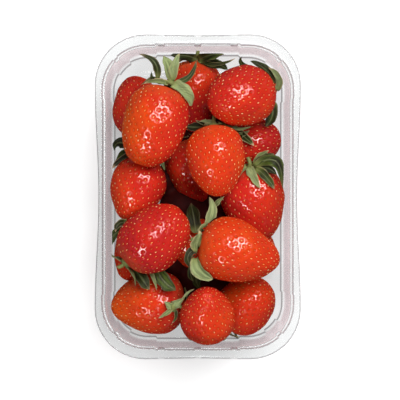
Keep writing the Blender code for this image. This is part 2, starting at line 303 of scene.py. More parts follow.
# The grey-pink at grazing angles is a painted reflection; the dark in the bends is painted shade.
for share, code in ((flange, "#F5F6F6"), (grazing, "#F3E8EA"), (bend, "#686064")):
    tint = add_node(tree, "ShaderNodeMix", {
        "Factor": share, 6: tint, 7: linear(code),
    }, data_type="RGBA").outputs[2]
through = add_node(tree, "ShaderNodeBsdfTransparent", {"Color": tint}).outputs[0]
satin = add_node(tree, "ShaderNodeMapRange", {"Value": flange, 3: 0.08, 4: 0.13}).outputs[0]
gloss = add_node(tree, "ShaderNodeBsdfGlossy", {
    "Color": linear("#FFFFFF"), "Roughness": satin,
}).outputs[0]
milk = add_node(tree, "ShaderNodeBsdfDiffuse", {"Color": linear("#DADCDE")}).outputs[0]
milky = add_node(tree, "ShaderNodeMapRange", {"Value": flange, 3: 0.01, 4: 0.04}).outputs[0]
hazy = add_node(tree, "ShaderNodeMixShader", {0: milky, 1: through, 2: milk}).outputs[0]
surface = add_node(tree, "ShaderNodeMixShader", {0: mirror, 1: hazy, 2: gloss})
add_node(tree, "ShaderNodeOutputMaterial", {"Surface": surface.outputs[0]})

tray = add_object("clear_tray", tray_sheet())
tray.data.materials.append(clear_pet)
wall = tray.modifiers.new("sheet_thickness", "SOLIDIFY")
wall.thickness = SHEET * MM
wall.offset = -1.0
wall.use_even_offset = False
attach(tray, "root")
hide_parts("punnet_tray")


# ---------------------------------------------------------------------------------------------
# Strawberries. Each is a swollen flower base: broad at the calyx, tapering to the tip, covered
# with pits that each hold one seed, in spirals a golden angle apart. They lie loose in two
# layers, and press a little into each other where they rest.

# Centre (mm), heading of the tip in plan (degrees from +X), rise of the tip (degrees), length and
# width (mm), taper towards the tip, how sharp the tip is.
BERRIES = {
    "north_west_big": ((-25.5, 41.0, 52.5), 253, 0, 49.0, 38.0, 0.14, 0.75),
    "north_east_round": ((24.3, 58.2, 52.5), 195, 40, 43.0, 36.0, 0.14, 0.85),
    "middle_egg": ((10.5, 20.8, 54.5), 273, 8, 42.0, 35.0, 0.20, 0.95),
    "east_broad": ((33.0, -4.0, 32.0), 284, 0, 46.0, 38.5, 0.22, 0.85),
    "west_crimson": ((-25.0, -23.5, 51.5), 41, 0, 45.0, 37.5, 0.12, 0.78),
    "east_cone": ((24.5, -32.2, 53.2), 345, 0, 48.0, 38.5, 0.30, 1.00),
    "south_cone": ((5.2, -67.2, 48.0), 95, 50, 37.0, 33.5, 0.32, 1.00),
    "north_west_deep": ((-35.5, 53.5, 19.0), 100, 5, 37.0, 32.0, 0.20, 0.95),
    "north_middle_deep": ((-2.5, 59.5, 20.0), 265, 0, 43.0, 34.0, 0.22, 0.95),
    "east_small": ((33.0, 32.5, 22.0), 10, 10, 34.0, 30.0, 0.15, 0.95),
    "middle_deep": ((-3.5, 15.0, 18.5), 293, 0, 41.0, 30.0, 0.15, 0.95),
    "west_middle": ((-36.0, 4.0, 32.5), 252, 10, 40.0, 33.0, 0.24, 0.95),
    "south_west_big": ((-29.5, -62.5, 22.5), 184, 0, 44.0, 38.5, 0.26, 0.95),
    "south_east": ((29.8, -63.0, 22.0), 40, 30, 37.0, 34.0, 0.20, 0.95),
    "west_hidden": ((-36.4, -32.8, 16.6), 250, 0, 35.0, 28.4, 0.20, 0.90),
    "east_hidden": ((34.0, -33.5, 16.3), 60, 0, 28.0, 26.5, 0.20, 0.95),
    "north_east_hidden": ((31.5, 62.5, 17.2), 25, 0, 36.0, 29.0, 0.20, 0.95),
    "middle_hidden": ((1.0, -27.0, 18.2), 0, 0, 36.0, 31.0, 0.20, 0.95),
}
# How far each berry has ripened, from 0, still orange, to 1, crimson, and the direction in which
# that grows, with by how much. Part of it is painted shade: berries low in the heap get more, so
# they come out darker, and on several the direction darkens a flank in shade between the others.
RIPENESS_AND_SHADE = {
    "north_west_big": (0.36, (0.9, -0.1, 0.1), 0.38),
    "north_east_round": (0.62, (-0.3, 0.8, 0.0), 0.22),
    "middle_egg": (0.36, (0.0, -0.3, 0.0), 0.10),
    "east_broad": (0.66, (-0.8, 0.1, 0.0), 0.28),
    "west_crimson": (0.80, (-0.6, -0.4, 0.0), 0.20),
    "east_cone": (0.34, (0.4, -0.4, 0.0), 0.12),
    "south_cone": (0.54, (-0.4, 0.6, -0.2), 0.28),
    "north_west_deep": (0.56, (-0.5, 0.5, 0.0), 0.20),
    "south_west_big": (0.36, (0.9, 0.1, 0.0), 0.42),
    "south_east": (0.40, (0.5, -0.5, 0.0), 0.25),
    "west_middle": (0.56, (0.8, 0.1, 0.0), 0.28),
    "east_small": (0.74, (0.5, 0.3, 0.0), 0.15),
    "north_middle_deep": (0.62, (0.0, -0.8, 0.0), 0.45),
    "middle_deep": (0.64, (0.5, 0.1, 0.0), 0.25),
}
SHOULDER_POWER = 0.80  # below 1, the calyx end is fuller than an ellipse's
LUMP_SIZE = 17.0  # of the skin's slow unevenness
UNEVENNESS = 1.0  # how deep the deepest dent is
DETAIL = {"upper": 66, "lower": 50, "hidden": 26}  # vertices along one edge of the base cube
UPPER_LAYER = 40.0  # its berries' centres are above this height
DENSER_TOP = 0.4  # how much closer together the vertices of a berry's upper side lie
ACHENE_SPACING = 4.1
ACHENE_STRAY = 0.03  # how far seeds stray from the spiral, as a share of the berry's size
ACHENE_SPAN = (-0.93, 0.999)  # where the spiral starts and ends along the berry, from -1 to 1
PIT_REACH = 0.475  # from a pit's middle to the crest around it, as a share of the spacing
PIT_DEPTH = 0.32
PAST_CREST = 1.3  # where the wave across a pit ends, in pit radii
CREST_AT = 0.98  # where the polished band on a pit's crest lies, in pit radii from its middle
CREST_HALF = (0.02, 0.13)  # half the width of its core and of its soft edge, in pit radii
FLANK_AT = 0.58  # the same for the weaker band on the pit's flank
FLANK_HALF = (0.02, 0.13)
FLANK_SHARE = 0.30  # how polished a pit's flank is, next to its crest
DULL_LEVEL = 0.03  # how polished the skin is elsewhere
SKIN_IOR = 1.50
WAX_IOR = 1.80
BLOTCH_SIZE = 12.0  # of the patches in its colour
SHEEN_SIZE = 3.0  # of those in its roughness
BERRY_STEPS = 60  # along a berry's outline
LEAST_SINE = 0.001  # at the poles, where a power of 0 would tear the skin
SHOULDER_END = (-0.99, -0.62)  # where the paler ring at the calyx fades, from -1 to 1 along it
SHADED_RIPENESS = (0.45, (0.4, -0.3, 0.0), 0.15)  # of the berries that hardly show
GOLDEN_ANGLE = math.pi * (3.0 - math.sqrt(5.0))

FORM_SIZES = dict.fromkeys((
    "Length", "Radius Scale", "Taper", "Tip Power", "Shoulder Power", "Unevenness", "Seed",
), "Float")


def new_group(name, needs, gives):
    """A geometry-nodes tree with named inputs and outputs, and what its inputs hold."""
    tree = bpy.data.node_groups.new(name, "GeometryNodeTree")
    for way, sockets in (("INPUT", needs), ("OUTPUT", gives)):
        for title, kind in sockets.items():
            tree.interface.new_socket(title, in_out=way, socket_type="NodeSocket" + kind)
    return tree, add_node(tree, "NodeGroupInput").outputs


def berry_form_group():
    """Node group: from a direction out of the berry's middle to the point of its skin there."""
    needs = {"Direction": "Vector", **FORM_SIZES}
    tree, given = new_group("berry_form", needs, {"Point": "Vector"})
    axis = add_node(tree, "ShaderNodeSeparateXYZ", {0: given["Direction"]}).outputs
    flat = add_node(tree, "ShaderNodeCombineXYZ", {0: axis[0], 1: axis[1]}).outputs[0]
    sine = add_node(tree, "ShaderNodeVectorMath", {0: flat}, operation="LENGTH").outputs["Value"]
    turn = add_node(tree, "ShaderNodeMath", {0: axis[2], 1: -1.0}, operation="MULTIPLY").outputs[0]
    turn = add_node(tree, "ShaderNodeMath", {0: turn}, operation="ARCCOSINE").outputs[0]
    power = add_node(tree, "ShaderNodeMapRange", {
        "Value": turn, 2: math.pi, 3: given["Shoulder Power"], 4: given["Tip Power"],
    }).outputs[0]
    power = add_node(tree, "ShaderNodeMath", {0: power, 1: 1.0}, operation="SUBTRACT").outputs[0]
    narrow = add_node(tree, "ShaderNodeMath", {
        0: axis[2], 1: given["Taper"],
    }, operation="MULTIPLY").outputs[0]
    narrow = add_node(tree, "ShaderNodeMath", {0: 1.0, 1: narrow}, operation="SUBTRACT").outputs[0]
    wide = sine
    for operation, by in (
        ("MAXIMUM", LEAST_SINE), ("POWER", power), ("MULTIPLY", narrow),
        ("MULTIPLY", given["Radius Scale"]),
    ):
        wide = add_node(tree, "ShaderNodeMath", {0: wide, 1: by}, operation=operation).outputs[0]
    half = add_node(tree, "ShaderNodeMath", {0: given["Length"], 1: 0.5}, operation="MULTIPLY")
    size = add_node(tree, "ShaderNodeCombineXYZ", {0: wide, 1: wide, 2: half.outputs[0]}).outputs[0]
    point = add_node(tree, "ShaderNodeVectorMath", {
        0: given["Direction"], 1: size,
    }, operation="MULTIPLY").outputs[0]
    shift = add_node(tree, "ShaderNodeVectorMath", {
        0: point, 1: given["Seed"],
    }, operation="ADD").outputs[0]
    lumps = add_node(tree, "ShaderNodeTexNoise", {
        "Vector": shift, "Scale": 1.0 / (LUMP_SIZE * MM), "Detail": 1.0,
    }).outputs["Fac"]
    dent = add_node(tree, "ShaderNodeMapRange", {
        "Value": lumps, 1: 0.28, 2: 0.66, 3: -1.0, 4: 0.0,
    }).outputs[0]
    dent = add_node(tree, "ShaderNodeMath", {
        0: dent, 1: given["Unevenness"],
    }, operation="MULTIPLY").outputs[0]
    inwards = add_node(tree, "ShaderNodeVectorMath", {
        0: given["Direction"], "Scale": dent,
    }, operation="SCALE").outputs[0]
    point = add_node(tree, "ShaderNodeVectorMath", {0: point, 1: inwards}, operation="ADD")
    add_node(tree, "NodeGroupOutput", {"Point": point.outputs[0]})
    return tree


def achene_spots_group(form):
    """Node group: points on the skin in golden-angle spirals, where the pits and seeds are."""
    tree, given = new_group("achene_spots", {"Count": "Int", **FORM_SIZES}, {"Spots": "Geometry"})
    index = add_node(tree, "GeometryNodeInputIndex").outputs[0]
    height = add_node(tree, "ShaderNodeMapRange", {
        "Value": index, 2: given["Count"], 3: ACHENE_SPAN[0], 4: ACHENE_SPAN[1],
    }).outputs[0]
    around = add_node(tree, "ShaderNodeMath", {0: index, 1: GOLDEN_ANGLE}, operation="MULTIPLY")
    sine = add_node(tree, "ShaderNodeMath", {0: height, 1: height}, operation="MULTIPLY").outputs[0]
    sine = add_node(tree, "ShaderNodeMath", {0: 1.0, 1: sine}, operation="SUBTRACT").outputs[0]
    sine = add_node(tree, "ShaderNodeMath", {0: sine}, operation="SQRT").outputs[0]
    sides = []
    for kind in ("COSINE", "SINE"):
        side = add_node(tree, "ShaderNodeMath", {0: around.outputs[0]}, operation=kind).outputs[0]
        side = add_node(tree, "ShaderNodeMath", {0: side, 1: sine}, operation="MULTIPLY")
        sides.append(side.outputs[0])
    spiral = add_node(tree, "ShaderNodeCombineXYZ", {0: sides[0], 1: sides[1], 2: height})
    stray = add_node(tree, "FunctionNodeRandomValue", {
        0: (-ACHENE_STRAY,) * 3, 1: (ACHENE_STRAY,) * 3, "ID": index, "Seed": 11,
    }, data_type="FLOAT_VECTOR")
    near = add_node(tree, "ShaderNodeVectorMath", {
        0: spiral.outputs[0], 1: stray.outputs[0],
    }, operation="ADD").outputs[0]
    near = add_node(tree, "ShaderNodeVectorMath", {0: near}, operation="NORMALIZE").outputs[0]
    sizes = {size: given[size] for size in FORM_SIZES}
    place = add_node(tree, "GeometryNodeGroup", {**sizes, "Direction": near}, node_tree=form)
    spots = add_node(tree, "GeometryNodePoints", {
        "Count": given["Count"], "Position": place.outputs["Point"],
    })
    add_node(tree, "NodeGroupOutput", {"Spots": spots.outputs[0]})
    return tree


def berry_body_tree(form, spots):
    """Geometry nodes that swell a cube into a berry and press a pit under each seed."""
    tree, given = new_group("strawberry_body", {
        "Geometry": "Geometry", "Edge Vertices": "Int", "Count": "Int", **FORM_SIZES,
        "Pit Radius": "Float", "Pit Depth": "Float", "Denser Side": "Vector",
        "Ripeness And Shade": "Float", "Ripening And Shade Direction": "Vector", "Skin": "Material",
    }, {"Geometry": "Geometry"})
    sizes = {size: given[size] for size in FORM_SIZES}
    edge = given["Edge Vertices"]
    cube = add_node(tree, "GeometryNodeMeshCube", {
        "Size": (2.0, 2.0, 2.0), "Vertices X": edge, "Vertices Y": edge, "Vertices Z": edge,
    })
    place = add_node(tree, "GeometryNodeInputPosition").outputs[0]
    ball = place
    for operation, by in (  # from a cube to a ball with even faces, then denser on one side
        ("MULTIPLY", (math.pi / 4,) * 3), ("TANGENT", (0.0,) * 3), ("NORMALIZE", (0.0,) * 3),
        ("ADD", given["Denser Side"]), ("NORMALIZE", (0.0,) * 3),
    ):
        ball = add_node(tree, "ShaderNodeVectorMath", {0: ball, 1: by}, operation=operation)
        ball = ball.outputs[0]
    geometry = add_node(tree, "GeometryNodeSetPosition", {
        "Geometry": cube.outputs["Mesh"], "Position": ball,
    }).outputs[0]
    # Slope of ripening across the berry, which on some is painted shade on a flank.
    shade = add_node(tree, "ShaderNodeVectorMath", {
        0: place, 1: given["Ripening And Shade Direction"],
    }, operation="DOT_PRODUCT").outputs["Value"]
    ripe_and_shade = add_node(tree, "ShaderNodeMath", {0: shade, 1: given["Ripeness And Shade"]}, operation="ADD")
    height = add_node(tree, "ShaderNodeSeparateXYZ", {0: place}).outputs[2]
    shoulder = add_node(tree, "ShaderNodeMapRange", {
        "Value": height, 1: SHOULDER_END[0], 2: SHOULDER_END[1], 3: 1.0, 4: 0.0,
    }, interpolation_type="SMOOTHSTEP")
    for name, value in (("ripeness", ripe_and_shade), ("shoulder", shoulder)):
        geometry = add_node(tree, "GeometryNodeStoreNamedAttribute", {
            "Geometry": geometry, "Name": name, "Value": value.outputs[0],
        }, data_type="FLOAT", domain="POINT").outputs[0]
    skin = add_node(tree, "GeometryNodeGroup", {**sizes, "Direction": place}, node_tree=form)
    geometry = add_node(tree, "GeometryNodeSetPosition", {
        "Geometry": geometry, "Position": skin.outputs["Point"],
    }).outputs[0]
    holes = add_node(tree, "GeometryNodeGroup", {
        **sizes, "Count": given["Count"],
    }, node_tree=spots)
    away = add_node(tree, "GeometryNodeProximity", {
        0: holes.outputs["Spots"],
    }, target_element="POINTS").outputs["Distance"]
    share = add_node(tree, "ShaderNodeMath", {0: away, 1: given["Pit Radius"]}, operation="DIVIDE")
    bowl = share
    for operation, by in (("MINIMUM", PAST_CREST), ("MULTIPLY", math.pi), ("COSINE", 0.0)):
        bowl = add_node(tree, "ShaderNodeMath", {0: bowl.outputs[0], 1: by}, operation=operation)
    bowl = add_node(tree, "ShaderNodeMath", {
        0: bowl.outputs[0], 1: 0.5, 2: 0.5,
    }, operation="MULTIPLY_ADD")
    for name, value in (("from_seed", share), ("pit", bowl)):
        geometry = add_node(tree, "GeometryNodeStoreNamedAttribute", {
            "Geometry": geometry, "Name": name, "Value": value.outputs[0],
        }, data_type="FLOAT", domain="POINT").outputs[0]
    depth = add_node(tree, "GeometryNodeInputNamedAttribute", {"Name": "pit"}, data_type="FLOAT")
    for by in (given["Pit Depth"], -1.0):
        depth = add_node(tree, "ShaderNodeMath", {0: depth.outputs[0], 1: by}, operation="MULTIPLY")
    normal = add_node(tree, "GeometryNodeInputNormal").outputs[0]
    inwards = add_node(tree, "ShaderNodeVectorMath", {
        0: normal, "Scale": depth.outputs[0],
    }, operation="SCALE").outputs[0]
    geometry = add_node(tree, "GeometryNodeSetPosition", {
        "Geometry": geometry, "Offset": inwards,
    }).outputs[0]
    for kind in ("GeometryNodeSetShadeSmooth", "GeometryNodeRealizeInstances"):
        geometry = add_node(tree, kind, {"Geometry": geometry}).outputs[0]
    geometry = add_node(tree, "GeometryNodeSetMaterial", {
        "Geometry": geometry, "Material": given["Skin"],
    }).outputs[0]
    add_node(tree, "NodeGroupOutput", {"Geometry": geometry})
    return tree


def made_by_nodes(name, tree, values):
    """Run a geometry-nodes tree with the given inputs and keep the result as a plain mesh."""
    carrier = add_object(name + "_carrier", bpy.data.meshes.new(name + "_carrier"))
    change = carrier.modifiers.new(name, "NODES")
    change.node_group = tree
    for item in tree.interface.items_tree:
        if item.in_out == "INPUT" and item.name in values:
            change[item.identifier] = values[item.name]
    bpy.context.view_layer.update()
    graph = bpy.context.evaluated_depsgraph_get()
    mesh = bpy.data.meshes.new_from_object(carrier.evaluated_get(graph), depsgraph=graph)
    bpy.data.objects.remove(carrier, do_unlink=True)
    mesh.name = name
    return mesh


def berry_radius(turn, taper, tip_power):
    """Relative radius at an angle from the calyx end (0) to the tip (pi)."""
    power = SHOULDER_POWER + (tip_power - SHOULDER_POWER) * turn / math.pi
    return math.sin(turn) ** power * (1.0 + taper * math.cos(turn))


def berry_profile(berry):
    """Points (along the axis, radius) of a berry's outline, in mm."""
    length, width, taper, tip_power = berry[3:]
    turns = [math.pi * k / BERRY_STEPS for k in range(BERRY_STEPS + 1)]
    radii = [0.0] + [berry_radius(turn, taper, tip_power) for turn in turns[1:-1]] + [0.0]
    scale = 0.5 * width / max(radii)
    return [(-0.5 * length * math.cos(turn), radius * scale) for turn, radius in zip(turns, radii)]


def berry_area(berry):
    """Area of a berry's skin, in mm2."""
    points = berry_profile(berry)
    return sum(
        math.pi * (r1 + r2) * math.hypot(z2 - z1, r2 - r1)
        for (z1, r1), (z2, r2) in zip(points, points[1:])
    )


def berry_frame(berry):
    """Matrix that puts a berry's axis (+Z, from calyx to tip) where it lies in the heap."""
    centre, heading, rise = berry[:3]
    heading, rise = math.radians(heading), math.radians(rise)
    flat = math.cos(rise)
    tip = Vector((math.cos(heading) * flat, math.sin(heading) * flat, math.sin(rise)))
    side = tip.cross(Vector((0.0, 0.0, 1.0))).normalized()
    up = side.cross(tip)
    turn = Matrix((side, up, tip)).transposed().to_4x4()
    return Matrix.Translation(Vector(centre) * MM) @ turn


def form_values(name):
    """Inputs that both of a berry's trees share."""
    berry = BERRIES[name]
    length, width, taper, tip_power = berry[3:]
    widest = max(berry_radius(math.pi * k / 200, taper, tip_power) for k in range(1, 200))
    hexagon = math.sqrt(0.75) * ACHENE_SPACING ** 2
    return {
        "Count": int(berry_area(berry) / hexagon),
        "Length": length * MM,
        "Radius Scale": 0.5 * width * MM / widest,
        "Taper": taper,
        "Tip Power": tip_power,
        "Shoulder Power": SHOULDER_POWER,
        "Unevenness": UNEVENNESS * MM,
        "Seed": 0.37 * (1 + list(BERRIES).index(name)),
    }


# Strawberry skin: a thin waxy cuticle over red flesh. The colour goes from orange through scarlet
# to crimson as the fruit ripens, and the same value carries painted shade, so that berries deep in
# the heap and flanks in shade come out darker. It is deeper red in the pits, which is painted shade
# in the hollows, and a little paler near the calyx. Light goes a little way into the flesh. Its wax
# is polished on the crest round each pit, so a lamp shows there as rings, more weakly on the pit's
# flank, and hardly elsewhere or at the berry's sides.
strawberry_skin, tree = new_material("strawberry_skin")
ripe_and_shade = add_node(tree, "ShaderNodeAttribute", attribute_name="ripeness").outputs["Fac"]
spot = add_node(tree, "ShaderNodeTexCoord").outputs["Object"]
blotch = add_node(tree, "ShaderNodeTexNoise", {
    "Vector": spot, "Scale": 1.0 / (BLOTCH_SIZE * MM), "Detail": 3.0,
}).outputs["Fac"]
blotch = add_node(tree, "ShaderNodeMath", {0: blotch, 1: 0.70, 2: -0.35}, operation="MULTIPLY_ADD")
ripe_and_shade = add_node(tree, "ShaderNodeMath", {0: ripe_and_shade, 1: blotch.outputs[0]}, operation="ADD")
ripe_and_shade = add_node(tree, "ShaderNodeMath", {0: ripe_and_shade.outputs[0], 1: 0.7}, operation="MULTIPLY")
colour = add_node(tree, "ShaderNodeValToRGB", {0: ripe_and_shade.outputs[0]})
stops = colour.color_ramp.elements
stops[0].position = 0.0
stops[0].color = linear("#E45614")
# The last, darkest stop is painted shade for berries deep in the heap.
stops[1].position = 1.0
stops[1].color = linear("#5C060A")
for position, code in ((0.24, "#D63A18"), (0.45, "#C62A1C"), (0.7, "#B01E22")):
    stops.new(position).color = linear(code)
colour = colour.outputs["Color"]
# Deeper red in the pits is painted shade in the hollows; paler near the calyx is the fruit's own.
for mark, most, code in (("pit", 0.38, "#A0100A"), ("shoulder", 0.15, "#F08A4A")):
    share = add_node(tree, "ShaderNodeAttribute", attribute_name=mark).outputs["Fac"]
    share = add_node(tree, "ShaderNodeMath", {0: share, 1: most}, operation="MULTIPLY").outputs[0]
    colour = add_node(tree, "ShaderNodeMix", {
        "Factor": share, 6: colour, 7: linear(code),
    }, data_type="RGBA").outputs[2]
shine = add_node(tree, "ShaderNodeTexNoise", {
    "Vector": spot, "Scale": 1.0 / (SHEEN_SIZE * MM), "Detail": 3.0,
}).outputs["Fac"]
rough = add_node(tree, "ShaderNodeMapRange", {"Value": shine, 3: 0.06, 4: 0.16}).outputs[0]
facing = add_node(tree, "ShaderNodeLayerWeight", {"Blend": 0.5}).outputs["Facing"]
from_seed = add_node(tree, "ShaderNodeAttribute", attribute_name="from_seed").outputs["Fac"]
bands = []
for at, half, share in ((CREST_AT, CREST_HALF, 1.0), (FLANK_AT, FLANK_HALF, FLANK_SHARE)):
    off = add_node(tree, "ShaderNodeMath", {0: from_seed, 1: at}, operation="SUBTRACT").outputs[0]
    off = add_node(tree, "ShaderNodeMath", {0: off}, operation="ABSOLUTE").outputs[0]
    bands.append(add_node(tree, "ShaderNodeMapRange", {
        "Value": off, 1: half[0], 2: half[1], 3: share, 4: 0.0,
    }, interpolation_type="SMOOTHSTEP").outputs[0])
both = add_node(tree, "ShaderNodeMath", {0: bands[0], 1: bands[1]}, operation="MAXIMUM").outputs[0]
polish = add_node(tree, "ShaderNodeMapRange", {"Value": both, 3: DULL_LEVEL, 4: 1.0}).outputs[0]
level = add_node(tree, "ShaderNodeMapRange", {
    "Value": facing, 1: 0.15, 2: 0.55, 3: 1.0, 4: 0.06,
}).outputs[0]
wax, level = (
    add_node(tree, "ShaderNodeMath", {0: level, 1: band}, operation="MULTIPLY").outputs[0]
    for band in (bands[0], polish)
)
surface = add_node(tree, "ShaderNodeBsdfPrincipled", {
    "Base Color": colour, "Roughness": rough, "IOR": SKIN_IOR, "Subsurface Weight": 0.08,
    "Specular Tint": linear("#FFE4DC"), "Specular IOR Level": level,
    "Coat Weight": wax, "Coat Roughness": 0.08, "Coat IOR": WAX_IOR,
    "Subsurface Radius": (1.0, 0.25, 0.12), "Subsurface Scale": 2.0 * MM,
})
add_node(tree, "ShaderNodeOutputMaterial", {"Surface": surface.outputs[0]})

berry_form = berry_form_group()
achene_spots = achene_spots_group(berry_form)
berry_body = berry_body_tree(berry_form, achene_spots)
for name, berry in BERRIES.items():
    values = form_values(name)
    level = "upper" if berry[0][2] > UPPER_LAYER else "lower"
    level = "hidden" if "hidden" in name else level
    # Ripening and painted shade for each berry, in value and direction.
    base, direction, strength = RIPENESS_AND_SHADE.get(name, SHADED_RIPENESS)
    place = berry_frame(berry)
    ripening_and_shade = place.to_3x3().transposed() @ Vector(direction) * strength
    values.update({
        "Edge Vertices": DETAIL[level],
        "Pit Radius": PIT_REACH * ACHENE_SPACING * MM,
        "Pit Depth": PIT_DEPTH * MM,
        "Denser Side": place.to_3x3().transposed() @ Vector((0.0, 0.0, DENSER_TOP)),
        "Ripeness And Shade": base,
        "Ripening And Shade Direction": ripening_and_shade,
        "Skin": strawberry_skin,
    })
    mesh = made_by_nodes("strawberry_" + name, berry_body, values)
    mesh.transform(place)
    piece = add_object("strawberry_" + name, mesh)
    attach(piece, "root")
    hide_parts("strawberry_heap")


# ---------------------------------------------------------------------------------------------
# Achenes. The seeds are the strawberry's real fruits: hard drop-shaped grains about 1.4 mm long,
# one in each pit, lying flat with the point towards the tip.

ACHENE_LENGTH = 1.4
ACHENE_WIDTH = 0.62
ACHENE_THICKNESS = 0.5
ACHENE_SINK = 0.28  # how far below the skin's surface its middle lies
ACHENE_SIDES = 6
ACHENE_RINGS = ((-0.28, 0.8), (0.16, 1.0))  # place along it, as a share of its length, and width
ACHENE_SCALES = (0.7, 1.1)
HUSK_PATCH = 3.1  # seeds nearer to each other than this are alike in colour
BALL_CELLS = (48, 32)  # of the ball that shows which way the skin faces


def achene_mesh():
    """One drop-shaped seed of 24 triangles, its point along +Y and its flat side facing +Z."""
    bm = bmesh.new()
    loops = []
    for along, wide in ACHENE_RINGS:
        loop = []
        for k in range(ACHENE_SIDES):
            turn = 2.0 * math.pi * k / ACHENE_SIDES
            point = Vector((
                0.5 * ACHENE_WIDTH * wide * math.cos(turn),
                ACHENE_LENGTH * -along,
                0.5 * ACHENE_THICKNESS * wide * math.sin(turn),
            ))
            loop.append(bm.verts.new(point * MM))
        loops.append(loop)
    ends = [bm.verts.new(Vector((0.0, 0.5 * ACHENE_LENGTH * side * MM, 0.0))) for side in (1, -1)]
    for k in range(ACHENE_SIDES):
        j = (k + 1) % ACHENE_SIDES
        bm.faces.new((loops[0][k], loops[0][j], loops[1][j], loops[1][k]))
        bm.faces.new((ends[0], loops[0][j], loops[0][k]))
        bm.faces.new((ends[1], loops[1][k], loops[1][j]))
    bmesh.ops.recalc_face_normals(bm, faces=bm.faces)
    return mesh_from("achene", bm)


def achene_tree(form, spots):
    """Geometry nodes that lay one seed in each pit of a berry."""
    tree, given = new_group("achene_cover", {
        "Geometry": "Geometry", "Count": "Int", **FORM_SIZES,
        "Sink": "Float", "Achene": "Object", "Husk": "Material",
    }, {"Geometry": "Geometry"})
    sizes = {size: given[size] for size in FORM_SIZES}
    ball = add_node(tree, "GeometryNodeMeshUVSphere", {
        "Segments": BALL_CELLS[0], "Rings": BALL_CELLS[1], "Radius": 1.0,
    }).outputs["Mesh"]
    place = add_node(tree, "GeometryNodeInputPosition").outputs[0]
    skin = add_node(tree, "GeometryNodeGroup", {**sizes, "Direction": place}, node_tree=form)
    body = add_node(tree, "GeometryNodeSetPosition", {
        "Geometry": ball, "Position": skin.outputs["Point"],
    }).outputs[0]
    holes = add_node(tree, "GeometryNodeGroup", {
        **sizes, "Count": given["Count"],
    }, node_tree=spots).outputs["Spots"]
    normal = add_node(tree, "GeometryNodeInputNormal").outputs[0]
    out = add_node(tree, "GeometryNodeSampleNearestSurface", {
        "Mesh": body, "Sample Position": place,
    }, data_type="FLOAT_VECTOR")
    tree.links.new(normal, out.inputs["Value"])
    sink = add_node(tree, "ShaderNodeMath", {0: given["Sink"], 1: -1.0}, operation="MULTIPLY")
    flat = add_node(tree, "FunctionNodeAlignRotationToVector", {
        "Vector": out.outputs["Value"],
    }, axis="Z").outputs[0]
    aimed = add_node(tree, "FunctionNodeAlignRotationToVector", {
        "Rotation": flat, "Vector": (0.0, 0.0, 1.0),
    }, axis="Y", pivot_axis="Z").outputs[0]
    index = add_node(tree, "GeometryNodeInputIndex").outputs[0]
    size = add_node(tree, "FunctionNodeRandomValue", {
        2: ACHENE_SCALES[0], 3: ACHENE_SCALES[1], "ID": index, "Seed": 5,
    }, data_type="FLOAT").outputs[1]
    copies = add_node(tree, "GeometryNodeObjectInfo", {"Object": given["Achene"]})
    seeds = add_node(tree, "GeometryNodeInstanceOnPoints", {
        "Points": holes, "Instance": copies.outputs["Geometry"], "Rotation": aimed, "Scale": size,
    }).outputs[0]
    drop = add_node(tree, "ShaderNodeCombineXYZ", {2: sink.outputs[0]}).outputs[0]
    seeds = add_node(tree, "GeometryNodeTranslateInstances", {
        "Instances": seeds, "Translation": drop, "Local Space": True,
    })
    seeds = add_node(tree, "GeometryNodeRealizeInstances", {"Geometry": seeds.outputs[0]})
    seeds = add_node(tree, "GeometryNodeSetMaterial", {
        "Geometry": seeds.outputs[0], "Material": given["Husk"],
    })
    add_node(tree, "NodeGroupOutput", {"Geometry": seeds.outputs[0]})
    return tree


# Achene husk: dry and woody, golden yellow to straw with some reddish ones, and satin.
achene_husk, tree = new_material("achene_husk")
spot = add_node(tree, "ShaderNodeTexCoord").outputs["Object"]
mixed = add_node(tree, "ShaderNodeTexNoise", {
    "Vector": spot, "Scale": 1.0 / (HUSK_PATCH * MM), "Detail": 0.0,
}).outputs["Fac"]
husk = add_node(tree, "ShaderNodeValToRGB", {0: mixed})
stops = husk.color_ramp.elements
stops[0].position = 0.30
stops[0].color = linear("#9A4416")
stops[1].position = 0.70
stops[1].color = linear("#F6D298")
for position, code in ((0.42, "#D67A30"), (0.55, "#F0AC56")):
    stops.new(position).color = linear(code)
surface = add_node(tree, "ShaderNodeBsdfPrincipled", {
    "Base Color": husk.outputs["Color"], "Roughness": 0.4, "IOR": 1.5,
})
add_node(tree, "ShaderNodeOutputMaterial", {"Surface": surface.outputs[0]})

one_achene = add_object("one_achene", achene_mesh())
one_achene.data.materials.append(achene_husk)
achene_cover = achene_tree(berry_form, achene_spots)
bm = bmesh.new()
for name, berry in BERRIES.items():
    values = form_values(name)
    values.update({"Sink": ACHENE_SINK * MM, "Achene": one_achene, "Husk": achene_husk})
    mesh = made_by_nodes("achenes_" + name, achene_cover, values)
    mesh.transform(berry_frame(berry))
    bm.from_mesh(mesh)
    bpy.data.meshes.remove(mesh)
bpy.data.objects.remove(one_achene, do_unlink=True)
achenes = add_object("achenes", mesh_from("achenes", bm))
achenes.data.materials.clear()
achenes.data.materials.append(achene_husk)
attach(achenes, "root")
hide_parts("strawberry_heap")


# ---------------------------------------------------------------------------------------------
# Heap core. The fruit in the dark at the bottom of the heap, that no view takes in as separate
# berries: rounded lumps of berry size, grown into one, that close the gaps in the heap.

